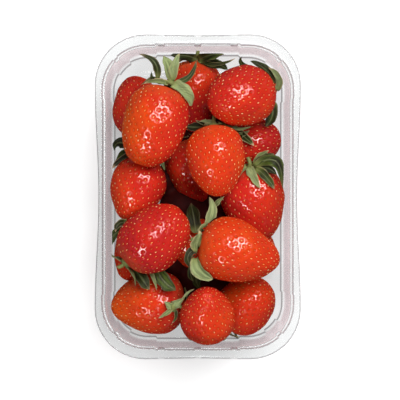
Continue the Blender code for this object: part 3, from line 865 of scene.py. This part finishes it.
CORE_LUMPS = (  # centre and radii (mm)
    ((-13.0, 34.0, 15.0), (11.0, 15.0, 11.0)),
    ((12.0, 44.0, 14.0), (12.0, 14.0, 10.0)),
    ((14.0, 4.0, 17.0), (11.0, 17.0, 13.0)),
    ((-8.0, -6.0, 15.0), (15.0, 13.0, 12.0)),
    ((-18.5, 10.0, 14.0), (7.0, 10.0, 10.0)),
    ((12.0, -14.0, 15.0), (9.0, 9.0, 11.0)),
    ((-14.0, -36.0, 15.0), (10.0, 14.0, 12.0)),
    ((4.0, -48.0, 15.0), (17.0, 11.0, 12.0)),
    ((2.0, -60.0, 14.0), (11.0, 9.0, 9.0)),
)
CORE_VOXEL = 1.6
SHADE_PATCH = 5.0
SEED_SHARES = (0.16, 0.22)  # radius of a seed and of its soft edge, as shares of the spacing
CORE_LIT = (8.0, 16.0)  # below the first height it is all lit, and above the second all in shade


def lump_mesh():
    """Every lump as a ball stretched to its radii, loosely together in one mesh."""
    bm = bmesh.new()
    for centre, radii in CORE_LUMPS:
        stretch = Matrix.Diagonal(Vector(radii) * MM).to_4x4()
        place = Matrix.Translation(Vector(centre) * MM) @ stretch
        bmesh.ops.create_icosphere(bm, subdivisions=4, radius=1.0, matrix=place)
    return mesh_from("heap_core_lumps", bm)


# Fruit skin in deep shade: dull dark crimson, slightly uneven. Low down, where the tray's clear
# floor lets light in, it is red like the rest, with straw-coloured seeds.
shaded_skin, tree = new_material("strawberry_skin_shaded")
spot = add_node(tree, "ShaderNodeTexCoord").outputs["Object"]
patches = add_node(tree, "ShaderNodeTexNoise", {"Vector": spot, "Scale": 1.0 / (SHADE_PATCH * MM)})
cells = add_node(tree, "ShaderNodeTexVoronoi", {
    "Vector": spot, "Scale": 1.0 / (ACHENE_SPACING * MM),
}).outputs["Distance"]
speck = add_node(tree, "ShaderNodeMapRange", {
    "Value": cells, 1: SEED_SHARES[0], 2: SEED_SHARES[1], 3: 1.0, 4: 0.0,
}).outputs[0]
height = add_node(tree, "ShaderNodeSeparateXYZ", {0: spot}).outputs[2]
low = add_node(tree, "ShaderNodeMapRange", {
    "Value": height, 1: CORE_LIT[0] * MM, 2: CORE_LIT[1] * MM, 3: 1.0, 4: 0.0,
}, interpolation_type="SMOOTHSTEP").outputs[0]
shaded, lit = (
    add_node(tree, "ShaderNodeMix", {
        "Factor": share, 6: linear(first), 7: linear(second),
    }, data_type="RGBA").outputs[2]
    for share, first, second in (
        (patches.outputs["Fac"], "#240404", "#420806"), (speck, "#A41E16", "#D09040"),
    )
)
tone = add_node(tree, "ShaderNodeMix", {
    "Factor": low, 6: shaded, 7: lit,
}, data_type="RGBA").outputs[2]
surface = add_node(tree, "ShaderNodeBsdfPrincipled", {
    "Base Color": tone, "Roughness": 0.7, "IOR": 1.45, "Specular IOR Level": 0.15,
})
add_node(tree, "ShaderNodeOutputMaterial", {"Surface": surface.outputs[0]})

lumps = add_object("heap_core_lumps", lump_mesh())
grow = lumps.modifiers.new("grown_into_one", "REMESH")
grow.mode = "VOXEL"
grow.voxel_size = CORE_VOXEL * MM
grow.use_smooth_shade = True
bpy.context.view_layer.update()
graph = bpy.context.evaluated_depsgraph_get()
core_mesh = bpy.data.meshes.new_from_object(lumps.evaluated_get(graph), depsgraph=graph)
bpy.data.objects.remove(lumps, do_unlink=True)
core_mesh.materials.clear()
core_mesh.materials.append(shaded_skin)
heap_core = add_object("heap_core", core_mesh)
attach(heap_core, "root")
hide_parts("strawberry_heap")


# ---------------------------------------------------------------------------------------------
# Calyxes. Each berry keeps its green cap: about ten thin pointed sepals around the stalk's
# stump, dark and smooth above, pale and downy underneath, that curl and dry out at the edges.
# They lie over the fruit next to them or stand against the wall.

SEPAL_THICKNESS = 0.35
SEPAL_CUP = (0.15, 0.45)  # how far the edges bend up, as shares of its half width
SEPAL_FULLNESS = (0.5, 0.85)  # the lower, the fuller towards foot and tip
SEPAL_STEPS = 14
SEPAL_COLUMNS = 6
SEPAL_MARKS = ("underside", "across", "along", "tone", "dry")  # what its material reads
FRUIT_GAP = 0.5  # between a sepal's middle layer and the fruit
SPINE_GAP = 0.9  # the same for its spine, before it is smoothed
CLEARING_ROUNDS = 3
SPACE_INSIDE = (50.0, 84.0, 20.5)  # half width, half length and corner radius, free of the wall
FLOOR_CLEAR = 2.4
RING_SEPALS = 9  # of a cap that doesn't show
RING_SEPALS_BELOW = 5  # of one that does, besides those that show
RING_TURN = (0.0, 320.0)  # degrees round the cap, from the first of the ring to the last
RING_TURN_BELOW = (200.0, 340.0)
RING_STRAY = 8.0
ROLL_STRAY = 12.0
DISC_RADIUS = 3.2
STUMP_RADIUS = 1.1
STUMP_LENGTH = 7.0
STUMP_FOOT = 1.6  # height of the disc's top
STUMP_SIDES = 12

# Sepals that show, by berry: foot, middle and tip (mm), width, roll (degrees), which side is up,
# and how dry it is from 0 to 1.
SHOWING_SEPALS = {
    "north_west_big": (
        ((-23.6, 67.5, 54.0), (-24.4, 77.6, 58.5), (-34.0, 82.8, 56.0), 4.2, 0, "top", 0.3),
        ((-15.0, 67.0, 54.0), (-17.0, 75.5, 59.0), (-20.0, 81.5, 58.5), 6.6, 10, "under", 0.1),
        ((-14.5, 67.5, 54.0), (-13.0, 76.0, 59.5), (-10.5, 83.0, 60.0), 5.2, -15, "under", 0.4),
        ((-13.5, 66.5, 55.0), (-5.0, 70.0, 52.0), (-0.8, 79.5, 48.0), 3.4, 10, "top", 0.2),
        ((-15.2, 64.6, 56.0), (-9.2, 58.8, 55.0), (-3.4, 52.8, 51.0), 12.5, 0, "under", 0.1),
        ((-17.0, 66.2, 55.0), (-23.0, 64.8, 55.5), (-30.0, 61.6, 52.0), 4.4, 0, "under", 0.9),
        ((-20.0, 66.0, 53.0), (-26.0, 68.0, 53.0), (-26.5, 73.0, 55.5), 2.6, 20, "top", 0.0),
    ),
    "north_middle_deep": (
        ((-1.0, 81.0, 26.0), (-7.0, 82.5, 33.0), (-16.0, 83.0, 35.0), 6.5, 10, "top", 0.0),
        ((0.0, 80.0, 28.0), (7.0, 83.0, 35.5), (15.5, 83.5, 36.0), 7.0, 0, "top", 0.1),
        ((0.5, 79.5, 27.0), (10.5, 77.8, 33.0), (17.5, 74.6, 36.0), 6.0, 0, "top", 0.0),
        ((0.5, 80.0, 26.0), (11.0, 77.5, 35.0), (22.0, 81.0, 40.0), 2.4, 20, "top", 0.6),
    ),
    "north_east_round": (
        ((36.0, 68.0, 39.0), (26.0, 77.0, 43.0), (25.8, 81.5, 46.0), 3.2, 20, "top", 0.0),
        ((46.0, 66.5, 41.0), (40.0, 74.6, 43.0), (30.5, 79.2, 43.5), 5.2, 10, "top", 0.0),
        ((46.5, 62.0, 41.0), (46.8, 69.4, 44.0), (41.0, 75.4, 45.0), 4.2, 15, "under", 0.6),
        ((43.0, 55.5, 38.0), (43.6, 47.5, 38.5), (39.6, 41.2, 36.0), 6.5, 0, "top", 0.1),
    ),
    "middle_egg": (
        ((10.5, 42.5, 53.0), (6.5, 43.8, 50.0), (0.8, 43.8, 48.0), 2.6, 35, "under", 0.4),
        ((6.5, 41.5, 49.0), (-1.0, 40.5, 44.0), (-7.5, 41.5, 42.0), 5.5, 0, "top", 0.2),
        ((12.0, 41.5, 53.5), (16.0, 41.5, 54.0), (19.5, 43.4, 54.0), 3.2, 0, "under", 0.1),
        ((13.0, 41.0, 52.0), (23.0, 40.0, 49.5), (31.0, 42.0, 46.0), 3.6, 10, "under", 0.2),
    ),
    "east_small": (
        ((22.0, 40.0, 30.0), (28.0, 35.0, 36.5), (33.0, 29.8, 39.0), 4.6, 0, "top", 0.9),
        ((20.0, 31.0, 26.0), (25.0, 35.0, 33.0), (30.5, 39.0, 37.0), 4.0, 0, "under", 0.5),
    ),
    "east_broad": (
        ((33.0, 19.5, 42.0), (36.5, 23.6, 45.0), (41.5, 27.2, 46.5), 4.4, 0, "under", 0.4),
        ((32.5, 17.5, 42.0), (39.0, 22.5, 46.5), (44.5, 25.0, 48.0), 4.6, 0, "top", 0.2),
        ((32.0, 17.0, 43.0), (45.0, 20.5, 48.0), (49.6, 4.5, 42.0), 6.8, 15, "top", 0.1),
        ((33.0, 16.0, 43.0), (40.0, 16.5, 45.5), (46.0, 13.0, 45.0), 6.0, 0, "top", 0.0),
        ((30.0, 16.0, 43.0), (32.0, 10.5, 46.5), (35.5, 4.0, 47.5), 5.6, 0, "under", 0.2),
        ((33.5, 15.5, 44.0), (40.5, 11.0, 47.5), (44.5, 4.5, 48.0), 5.4, 0, "top", 0.3),
        ((29.0, 15.0, 41.0), (23.5, 9.0, 43.0), (18.8, 2.2, 42.5), 4.6, 0, "under", 0.2),
    ),
    "west_middle": (
        ((-30.0, 22.0, 33.0), (-24.5, 18.5, 35.0), (-22.3, 14.0, 36.0), 6.0, 0, "under", 0.0),
        ((-33.0, 24.0, 33.0), (-45.0, 31.5, 31.0), (-49.0, 27.0, 34.0), 6.5, 20, "top", 0.0),
        ((-33.5, 23.0, 34.0), (-43.0, 26.0, 32.0), (-48.0, 18.0, 35.0), 5.5, 10, "top", 0.1),
        ((-33.0, 22.0, 35.0), (-44.0, 22.0, 37.0), (-50.0, 16.5, 38.5), 4.6, 0, "top", 0.5),
    ),
    "east_cone": (
        ((4.4, -18.0, 49.0), (8.0, -8.0, 52.0), (6.8, 0.6, 54.0), 5.6, 0, "under", 0.4),
        ((8.0, -7.0, 48.0), (11.5, -3.0, 51.0), (15.6, 0.6, 52.0), 2.8, 0, "under", 0.5),
        ((-1.0, -21.0, 40.0), (-2.6, -11.4, 35.0), (-4.0, -3.5, 31.0), 8.5, 0, "top", 0.1),
        ((5.8, -32.5, 53.5), (3.0, -26.4, 56.0), (0.8, -19.4, 56.5), 7.4, 0, "under", 0.6),
        ((1.0, -30.0, 53.0), (-5.2, -34.0, 54.0), (-3.3, -42.0, 52.0), 5.0, 0, "top", 0.2),
        ((2.4, -35.0, 55.0), (6.2, -40.6, 58.0), (9.8, -45.6, 58.5), 9.4, 0, "under", 0.3),
        ((-1.0, -36.0, 53.0), (1.0, -42.0, 54.0), (4.2, -47.6, 54.0), 5.6, 0, "under", 0.3),
        ((-2.0, -38.0, 44.0), (-4.6, -44.0, 40.0), (-2.5, -49.5, 36.0), 4.0, 10, "top", 0.1),
        ((-1.0, -44.0, 38.0), (-1.0, -50.0, 33.0), (2.0, -54.0, 30.0), 5.0, 0, "top", 0.0),
    ),
    "west_crimson": (
        ((-38.0, -40.0, 40.0), (-33.0, -48.0, 45.0), (-28.0, -54.0, 44.0), 8.0, 0, "top", 0.2),
        ((-30.0, -40.0, 40.0), (-25.8, -47.5, 45.0), (-24.0, -54.5, 43.0), 2.2, 0, "under", 0.5),
        ((-25.0, -40.0, 42.0), (-19.0, -48.5, 45.0), (-12.8, -54.5, 44.0), 9.0, 0, "top", 0.1),
        ((-41.0, -20.0, 40.0), (-48.0, -21.5, 43.0), (-50.0, -28.0, 42.0), 5.5, 0, "top", 0.0),
        ((-41.0, -15.0, 40.0), (-46.0, -15.8, 44.0), (-48.0, -20.5, 44.0), 4.2, 0, "top", 0.6),
    ),
    "south_west_big": (
        ((-14.5, -64.0, 41.0), (-16.8, -62.8, 43.0), (-19.6, -60.8, 43.0), 3.8, 0, "under", 0.3),
        ((-14.5, -64.0, 41.0), (-11.6, -61.7, 44.0), (-8.0, -59.2, 44.0), 4.8, 0, "under", 0.3),
        ((-12.5, -62.5, 41.0), (-5.8, -58.2, 45.0), (-0.5, -56.6, 46.0), 2.6, 20, "under", 0.6),
        ((-14.5, -64.5, 41.0), (-18.3, -67.8, 43.0), (-23.0, -70.8, 42.0), 2.6, 0, "under", 0.9),
        ((-14.0, -64.5, 41.0), (-12.8, -69.5, 40.0), (-15.2, -74.0, 38.0), 2.0, 0, "top", 0.9),
    ),
}
CALYX_PLACES = {  # where a cap that shows is joined on (mm), if not at the berry's far end
    "north_west_big": (-15.8, 66.4, 53.5),
    "east_broad": (31.0, 17.6, 40.5),
    "south_west_big": (-14.2, -64.0, 39.5),
}


def outline_of(name):
    """A berry's outline as points (along the axis, radius) in mm, and the matrix into its frame."""
    return berry_profile(BERRIES[name]), berry_frame(BERRIES[name]).inverted()


OUTLINES = {name: outline_of(name) for name in BERRIES}


def clear_of_fruit(point, gap):
    """Move a point (mm) out of any berry it lies in, and back inside the tray."""
    for _ in range(CLEARING_ROUNDS):
        for name, (profile, into) in OUTLINES.items():
            local = into @ (point * MM) / MM
            if local.length > 0.5 * BERRIES[name][3] + gap + 2.0:
                continue
            across = math.hypot(local.x, local.y)
            best = None
            for (z1, r1), (z2, r2) in zip(profile, profile[1:]):
                dz, dr = z2 - z1, r2 - r1
                step = dz * dz + dr * dr
                if step < 1e-9:
                    continue
                share = ((local.z - z1) * dz + (across - r1) * dr) / step
                share = min(max(share, 0.0), 1.0)
                near = (z1 + dz * share, r1 + dr * share)
                off = math.hypot(local.z - near[0], across - near[1])
                side = (local.z - z1) * -dr + (across - r1) * dz
                if best is None or off < best[0]:
                    best = (off, side > 0.0, near, (-dr / step ** 0.5, dz / step ** 0.5))
            off, outside, near, normal = best
            if outside and off >= gap:
                continue
            along, out = near[0] + normal[0] * gap, near[1] + normal[1] * gap
            turn = math.atan2(local.y, local.x)
            moved = Vector((out * math.cos(turn), out * math.sin(turn), along))
            point = into.inverted() @ (moved * MM) / MM
        point = inside_tray(point)
    return point


def inside_tray(point):
    """Move a point (mm) back inside the tray's wall and off its floor."""
    half_width, half_length, corner = SPACE_INSIDE
    x = min(max(point.x, -half_width), half_width)
    y = min(max(point.y, -half_length), half_length)
    over_x, over_y = abs(x) - (half_width - corner), abs(y) - (half_length - corner)
    if over_x > 0.0 and over_y > 0.0 and math.hypot(over_x, over_y) > corner:
        scale = corner / math.hypot(over_x, over_y)
        x = math.copysign(half_width - corner + over_x * scale, x)
        y = math.copysign(half_length - corner + over_y * scale, y)
    return Vector((x, y, max(point.z, FLOOR_CLEAR)))


def marked(bm, point, values):
    """A new vertex at a point (mm), with a value for each of the marks."""
    vert = bm.verts.new(point * MM)
    for mark, value in zip(SEPAL_MARKS, values):
        vert[bm.verts.layers.float[mark]] = value
    return vert


def sepal(bm, points, width, up, roll, under_up, dry, dice):
    """Add one sepal: a thin two-sided blade along a curve through its foot, middle and tip."""
    foot, middle, tip = (Vector(point) for point in points)
    spine = []
    for k in range(SEPAL_STEPS + 1):
        s = k / SEPAL_STEPS
        bend = foot * (2.0 * (s - 0.5) * (s - 1.0)) + middle * (4.0 * s * (1.0 - s))
        spine.append(clear_of_fruit(bend + tip * (2.0 * s * (s - 0.5)), SPINE_GAP))
    for _ in range(2):
        smooth = [(a + 2.0 * b + c) / 4.0 for a, b, c in zip(spine, spine[1:], spine[2:])]
        spine = [spine[0]] + smooth + [spine[-1]]
    cup = dice.uniform(*SEPAL_CUP)
    wave = dice.uniform(0.0, 6.3)
    full = dice.uniform(*SEPAL_FULLNESS)
    sway = dice.uniform(-1.0, 1.0)
    roll += dice.uniform(-ROLL_STRAY, ROLL_STRAY)
    tone = dice.uniform(0.0, 1.0)
    layers = {"under": [], "top": []}
    for k, place in enumerate(spine):
        s = k / SEPAL_STEPS
        before, after = spine[max(k - 1, 0)], spine[min(k + 1, SEPAL_STEPS)]
        ahead = (after - before).normalized()
        side = ahead.cross(up)
        if side.length < 0.2:
            side = ahead.cross(Vector((0.3, 0.9, 0.1)))
        side = Matrix.Rotation(math.radians(roll) * s, 3, ahead) @ side.normalized()
        face = side.cross(ahead)
        shape = max(math.sin(math.pi * min(s + 0.03, 1.0) ** 0.78) ** full, 0.36 * (1.0 - s), 0.02)
        shape *= 1.0 + 0.07 * math.sin(9.0 * s + wave) + 0.04 * math.sin(21.0 * s - wave)
        half = 0.5 * width * shape
        rows = {"under": [], "top": []}
        for c in range(SEPAL_COLUMNS + 1):
            u = 2.0 * c / SEPAL_COLUMNS - 1.0
            notch = 1.0 - 0.08 * u * math.sin(13.0 * s + 2.0 * wave) * abs(u)
            rise = cup * half * (u * u - 0.3) + 0.12 * half * abs(u)
            ripple = 0.16 * half * u * math.sin(9.0 * s + wave + 1.5 * u)
            sideways = (u * notch + sway * s * (1.0 - s)) * half
            point = clear_of_fruit(place + side * sideways + face * (rise + ripple), FRUIT_GAP)
            thick = 0.5 * SEPAL_THICKNESS * (1.0 - 0.5 * abs(u)) * (1.0 if s < 0.95 else 0.5)
            for layer, way in (("top", 1.0), ("under", -1.0)):
                underside = 1.0 if (layer == "under") != under_up else 0.0
                on_face = point + face * (way * thick)
                rows[layer].append(marked(bm, on_face, (underside, abs(u), s, tone, dry)))
        for layer in layers:
            layers[layer].append(rows[layer])
    top, under = layers["top"], layers["under"]
    for k in range(SEPAL_STEPS):
        for c in range(SEPAL_COLUMNS):
            bm.faces.new((top[k][c], top[k][c + 1], top[k + 1][c + 1], top[k + 1][c]))
            bm.faces.new((under[k][c], under[k + 1][c], under[k + 1][c + 1], under[k][c + 1]))
        for c in (0, SEPAL_COLUMNS):
            ends = (top[k][c], top[k + 1][c], under[k + 1][c], under[k][c])
            bm.faces.new(ends if c == 0 else ends[::-1])
    for k in (0, SEPAL_STEPS):
        for c in range(SEPAL_COLUMNS):
            ends = (top[k][c], under[k][c], under[k][c + 1], top[k][c + 1])
            bm.faces.new(ends if k == 0 else ends[::-1])


def stump(bm, place, away, dice):
    """Add the disc the sepals grow from and the stump of the stalk on it."""
    turn = away.to_track_quat("Z", "Y").to_matrix()
    lean = dice.uniform(-0.25, 0.25)
    length = STUMP_LENGTH * dice.uniform(0.5, 1.0)
    rings = [(DISC_RADIUS, -1.2), (DISC_RADIUS, 0.2), (0.6 * DISC_RADIUS, 1.1)]
    rings += [(STUMP_RADIUS, STUMP_FOOT + length * k / 4) for k in range(5)]
    loops = []
    for radius, high in rings:
        loop = []
        for k in range(STUMP_SIDES):
            angle = 2.0 * math.pi * k / STUMP_SIDES
            bend = lean * max(high - STUMP_FOOT, 0.0) ** 2 / length
            local = Vector((radius * math.cos(angle) + bend, radius * math.sin(angle), high))
            loop.append(marked(bm, place + turn @ local, (0.5, 0.4, 0.0, 0.6, 0.3)))
        loops.append(loop)
    for lower, upper in zip(loops, loops[1:]):
        for k in range(STUMP_SIDES):
            j = (k + 1) % STUMP_SIDES
            bm.faces.new((lower[k], lower[j], upper[j], upper[k]))
    bm.faces.new(loops[0][::-1])
    bm.faces.new(loops[-1])


def calyx_mesh(name, seed):
    """One berry's cap: the sepals that show, a ring of others below and behind, and the stump."""
    dice = random.Random(seed)
    bm = bmesh.new()
    for mark in SEPAL_MARKS:
        bm.verts.layers.float.new(mark)
    berry = BERRIES[name]
    frame_of = berry_frame(berry).to_3x3()
    side, up, tip = frame_of.col
    end = Vector(berry[0]) - tip * (0.5 * berry[3])
    place = Vector(CALYX_PLACES.get(name, end))
    for foot, middle, point, width, roll, face, dry in SHOWING_SEPALS.get(name, ()):
        points = (foot, middle, point)
        sepal(bm, points, width, Vector((0, 0, 1)), roll, face == "under", dry, dice)
    shows = name in SHOWING_SEPALS
    count = RING_SEPALS_BELOW if shows else RING_SEPALS
    first, last = RING_TURN_BELOW if shows else RING_TURN
    for k in range(count):
        angle = first + (last - first) * k / (count - 1) + dice.uniform(-RING_STRAY, RING_STRAY)
        angle = math.radians(angle)
        out = side * math.cos(angle) + up * math.sin(angle)
        length = dice.uniform(11.0, 16.0)
        points = (
            end + out * 2.0 - tip * 0.3,
            end + out * (0.55 * length) - tip * dice.uniform(-1.0, 2.5),
            end + out * (0.95 * length) - tip * dice.uniform(-5.0, 5.0),
        )
        width, roll, dry = dice.uniform(3.8, 5.4), dice.uniform(-20, 20), dice.random() * 0.4
        sepal(bm, points, width, -tip, roll, False, dry, dice)
    stump(bm, place, -tip, dice)
    bmesh.ops.recalc_face_normals(bm, faces=bm.faces)
    return mesh_from("calyx_" + name, bm)


# Leaf: dark and waxy above, pale, downy and matt underneath, streaked along its length, paler at
# the foot and along the rib, ridged by side veins, and dried to tan at the edges and the tip.
VEIN_SLANT = 0.35  # how far a vein runs towards the tip by the edge, as a share of the length
VEIN_TURNS = 55.0  # radians of the wave along the leaf, so nearly nine veins on each side
VEIN_HEIGHT = 0.3
calyx_leaf, tree = new_material("calyx_leaf")
marks = {
    name: add_node(tree, "ShaderNodeAttribute", attribute_name=name).outputs["Fac"]
    for name in SEPAL_MARKS
}
length = add_node(tree, "ShaderNodeMath", {0: marks["along"], 1: 0.6}, operation="MULTIPLY")
apart = add_node(tree, "ShaderNodeMath", {0: marks["tone"], 1: 9.0}, operation="MULTIPLY")
grain = add_node(tree, "ShaderNodeCombineXYZ", {
    0: marks["across"], 1: length.outputs[0], 2: apart.outputs[0],
}).outputs[0]
patches = add_node(tree, "ShaderNodeTexNoise", {
    "Vector": grain, "Scale": 3.4, "Detail": 3.0,
}).outputs["Fac"]
patches = add_node(tree, "ShaderNodeMapRange", {"Value": patches, 1: 0.38, 2: 0.64}).outputs[0]
waxy_green, downy_green, darker = (
    add_node(tree, "ShaderNodeMix", {
        "Factor": share, 6: linear(first), 7: linear(second),
    }, data_type="RGBA").outputs[2]
    for share, first, second in (
        (marks["tone"], "#121A06", "#4C6020"), (marks["tone"], "#7E8C56", "#9CAC76"),
        (patches, "#20241E", "#FFFFFF"),
    )
)
green = add_node(tree, "ShaderNodeMix", {
    "Factor": marks["underside"], 6: waxy_green, 7: downy_green,
}, data_type="RGBA").outputs[2]
streaky = add_node(tree, "ShaderNodeMapRange", {
    "Value": marks["underside"], 3: 1.0, 4: 0.5,
}).outputs[0]
green = add_node(tree, "ShaderNodeMix", {
    "Factor": streaky, 6: green, 7: darker,
}, data_type="RGBA", blend_type="MULTIPLY").outputs[2]
young = add_node(tree, "ShaderNodeMapRange", {
    "Value": marks["along"], 1: 0.02, 2: 0.26, 3: 0.5, 4: 0.0,
}, interpolation_type="SMOOTHSTEP").outputs[0]
rib = add_node(tree, "ShaderNodeMapRange", {
    "Value": marks["across"], 1: 0.0, 2: 0.16, 3: 0.22, 4: 0.0,
}).outputs[0]
edge = add_node(tree, "ShaderNodeMapRange", {
    "Value": marks["across"], 1: 0.72, 2: 1.0, 3: 0.0, 4: 0.75,
}, interpolation_type="SMOOTHSTEP").outputs[0]
end = add_node(tree, "ShaderNodeMapRange", {
    "Value": marks["along"], 1: 0.80, 2: 1.0, 3: 0.0, 4: 1.2,
}, interpolation_type="SMOOTHSTEP").outputs[0]
edge = add_node(tree, "ShaderNodeMath", {0: edge, 1: end}, operation="MAXIMUM").outputs[0]
edge = add_node(tree, "ShaderNodeMath", {0: edge, 1: marks["dry"]}, operation="MULTIPLY").outputs[0]
edge = add_node(tree, "ShaderNodeMath", {
    0: edge, 1: 1.4, 2: 0.02,
}, operation="MULTIPLY_ADD", use_clamp=True).outputs[0]
leaf = green
for share, code in ((young, "#98A05A"), (rib, "#B9C08C"), (edge, "#C6AC84")):
    leaf = add_node(tree, "ShaderNodeMix", {
        "Factor": share, 6: leaf, 7: linear(code),
    }, data_type="RGBA").outputs[2]
vein = marks["across"]
for operation, by in (
    ("MULTIPLY", -VEIN_SLANT), ("ADD", marks["along"]), ("MULTIPLY", VEIN_TURNS), ("SINE", 0.0),
):
    vein = add_node(tree, "ShaderNodeMath", {0: vein, 1: by}, operation=operation).outputs[0]
relief = add_node(tree, "ShaderNodeBump", {
    "Strength": 0.35, "Distance": VEIN_HEIGHT * MM, "Height": vein,
}).outputs[0]
waxy = add_node(tree, "ShaderNodeMapRange", {
    "Value": marks["underside"], 3: 0.38, 4: 0.62,
}).outputs[0]
surface = add_node(tree, "ShaderNodeBsdfPrincipled", {
    "Base Color": leaf, "Roughness": waxy, "IOR": 1.45, "Normal": relief,
    "Specular IOR Level": 0.2,
})
add_node(tree, "ShaderNodeOutputMaterial", {"Surface": surface.outputs[0]})

for number, name in enumerate(BERRIES):
    calyx = add_object("calyx_" + name, calyx_mesh(name, number))
    calyx.data.materials.append(calyx_leaf)
    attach(calyx, "root")
    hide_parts("strawberry_heap")


# ---------------------------------------------------------------------------------------------
# Surroundings, which are no part of the object: a pale table, a large soft light high in the
# north-east, a smaller one lower in the south-west, and a camera straight above.

TABLE_HALF = 3.0  # in metres, as the other sizes here
TABLE_GAP = 0.0001  # under the tray
TABLE_GLOW = 0.38
TABLE_BOUNCE = 0.35  # share of its light that it returns to the fruit
TABLE_GRAIN = 0.002
GLOW_REACH = (0.3, 1.2)  # from the object; the glow grows between these to white
bm = bmesh.new()
below = Matrix.Translation((0.0, 0.0, -TABLE_GAP))
bmesh.ops.create_grid(bm, x_segments=1, y_segments=1, size=TABLE_HALF, matrix=below)
table = add_object("table", mesh_from("table", bm))
# Matt pale acrylic of a light table: no gloss, a faint grain. Its own glow is seen only by the
# camera, so that it doesn't light the fruit from below, and grows to white far from the object.
pale_acrylic, tree = new_material("matt_light_table")
spot = add_node(tree, "ShaderNodeTexCoord").outputs["Object"]
grain = add_node(tree, "ShaderNodeTexNoise", {"Vector": spot, "Scale": 1.0 / TABLE_GRAIN})
tone = add_node(tree, "ShaderNodeMix", {
    "Factor": grain.outputs["Fac"], 6: linear("#D8D8D8"), 7: linear("#DEDEDE"),
}, data_type="RGBA").outputs[2]
seen = add_node(tree, "ShaderNodeLightPath").outputs["Is Camera Ray"]
share = add_node(tree, "ShaderNodeMapRange", {"Value": seen, 3: TABLE_BOUNCE, 4: 1.0}).outputs[0]
tone = add_node(tree, "ShaderNodeVectorMath", {0: tone, "Scale": share}, operation="SCALE")
matt = add_node(tree, "ShaderNodeBsdfDiffuse", {"Color": tone.outputs[0]}).outputs[0]
away = add_node(tree, "ShaderNodeVectorMath", {0: spot}, operation="LENGTH").outputs["Value"]
away = add_node(tree, "ShaderNodeMapRange", {
    "Value": away, 1: GLOW_REACH[0], 2: GLOW_REACH[1], 3: TABLE_GLOW, 4: 1.0,
}).outputs[0]
seen = add_node(tree, "ShaderNodeMath", {0: seen, 1: away}, operation="MULTIPLY").outputs[0]
glow = add_node(tree, "ShaderNodeEmission", {
    "Color": linear("#FFFFFF"), "Strength": seen,
}).outputs[0]
surface = add_node(tree, "ShaderNodeAddShader", {0: matt, 1: glow})
add_node(tree, "ShaderNodeOutputMaterial", {"Surface": surface.outputs[0]})
table.data.materials.append(pale_acrylic)

# A dim even room, a little brighter near the horizon, that the camera itself sees as white.
world = bpy.data.worlds.new("bright_room")
world.use_nodes = True
sky = world.node_tree
height = add_node(sky, "ShaderNodeSeparateXYZ", {
    0: add_node(sky, "ShaderNodeTexCoord").outputs["Generated"],
}).outputs[2]
bright = add_node(sky, "ShaderNodeMapRange", {
    "Value": height, 1: 0.15, 2: 0.95, 3: 0.12, 4: 0.05,
}).outputs[0]
seen = add_node(sky, "ShaderNodeLightPath").outputs["Is Camera Ray"]
bright = add_node(sky, "ShaderNodeMath", {0: bright, 1: seen}, operation="MAXIMUM").outputs[0]
sky.links.new(bright, sky.nodes["Background"].inputs["Strength"])
sky.nodes["Background"].inputs["Color"].default_value = linear("#FFFFFF")
bpy.context.scene.world = world

OBJECT_MIDDLE = Vector((0.0, 0.0, 0.05))


def softbox(name, azimuth, elevation, distance, size, power):
    """A rectangular area light aimed at the object from a compass direction."""
    light = bpy.data.lights.new(name, "AREA")
    light.shape = "RECTANGLE"
    light.size, light.size_y = size
    light.energy = power
    lamp = add_object(name, light)
    turn, up = math.radians(azimuth), math.radians(elevation)
    away = Vector((math.cos(turn) * math.cos(up), math.sin(turn) * math.cos(up), math.sin(up)))
    lamp.location = OBJECT_MIDDLE + away * distance
    lamp.rotation_euler = away.to_track_quat("Z", "Y").to_euler()


softbox("softbox_north_east", 52, 61, 1.5, (1.1, 1.15), 29.0)
softbox("softbox_south_west", 237, 48, 1.5, (0.6, 0.6), 9.0)

CAMERA_HEIGHT = 1.8  # above the rim
CAMERA_PLACE = (0.0013, -0.0018)
CAMERA_REACH = 20.0
FRAME_WIDTH = 0.2304  # what the picture's width takes in at the rim's height
SENSOR_WIDTH = 36.0  # mm
camera = bpy.data.cameras.new("camera_above")
camera.sensor_width = SENSOR_WIDTH
camera.lens = SENSOR_WIDTH * CAMERA_HEIGHT / FRAME_WIDTH
camera.clip_end = CAMERA_REACH
eye = add_object("camera_above", camera)
eye.location = (*CAMERA_PLACE, RIM_HEIGHT * MM + CAMERA_HEIGHT)
bpy.context.scene.camera = eye
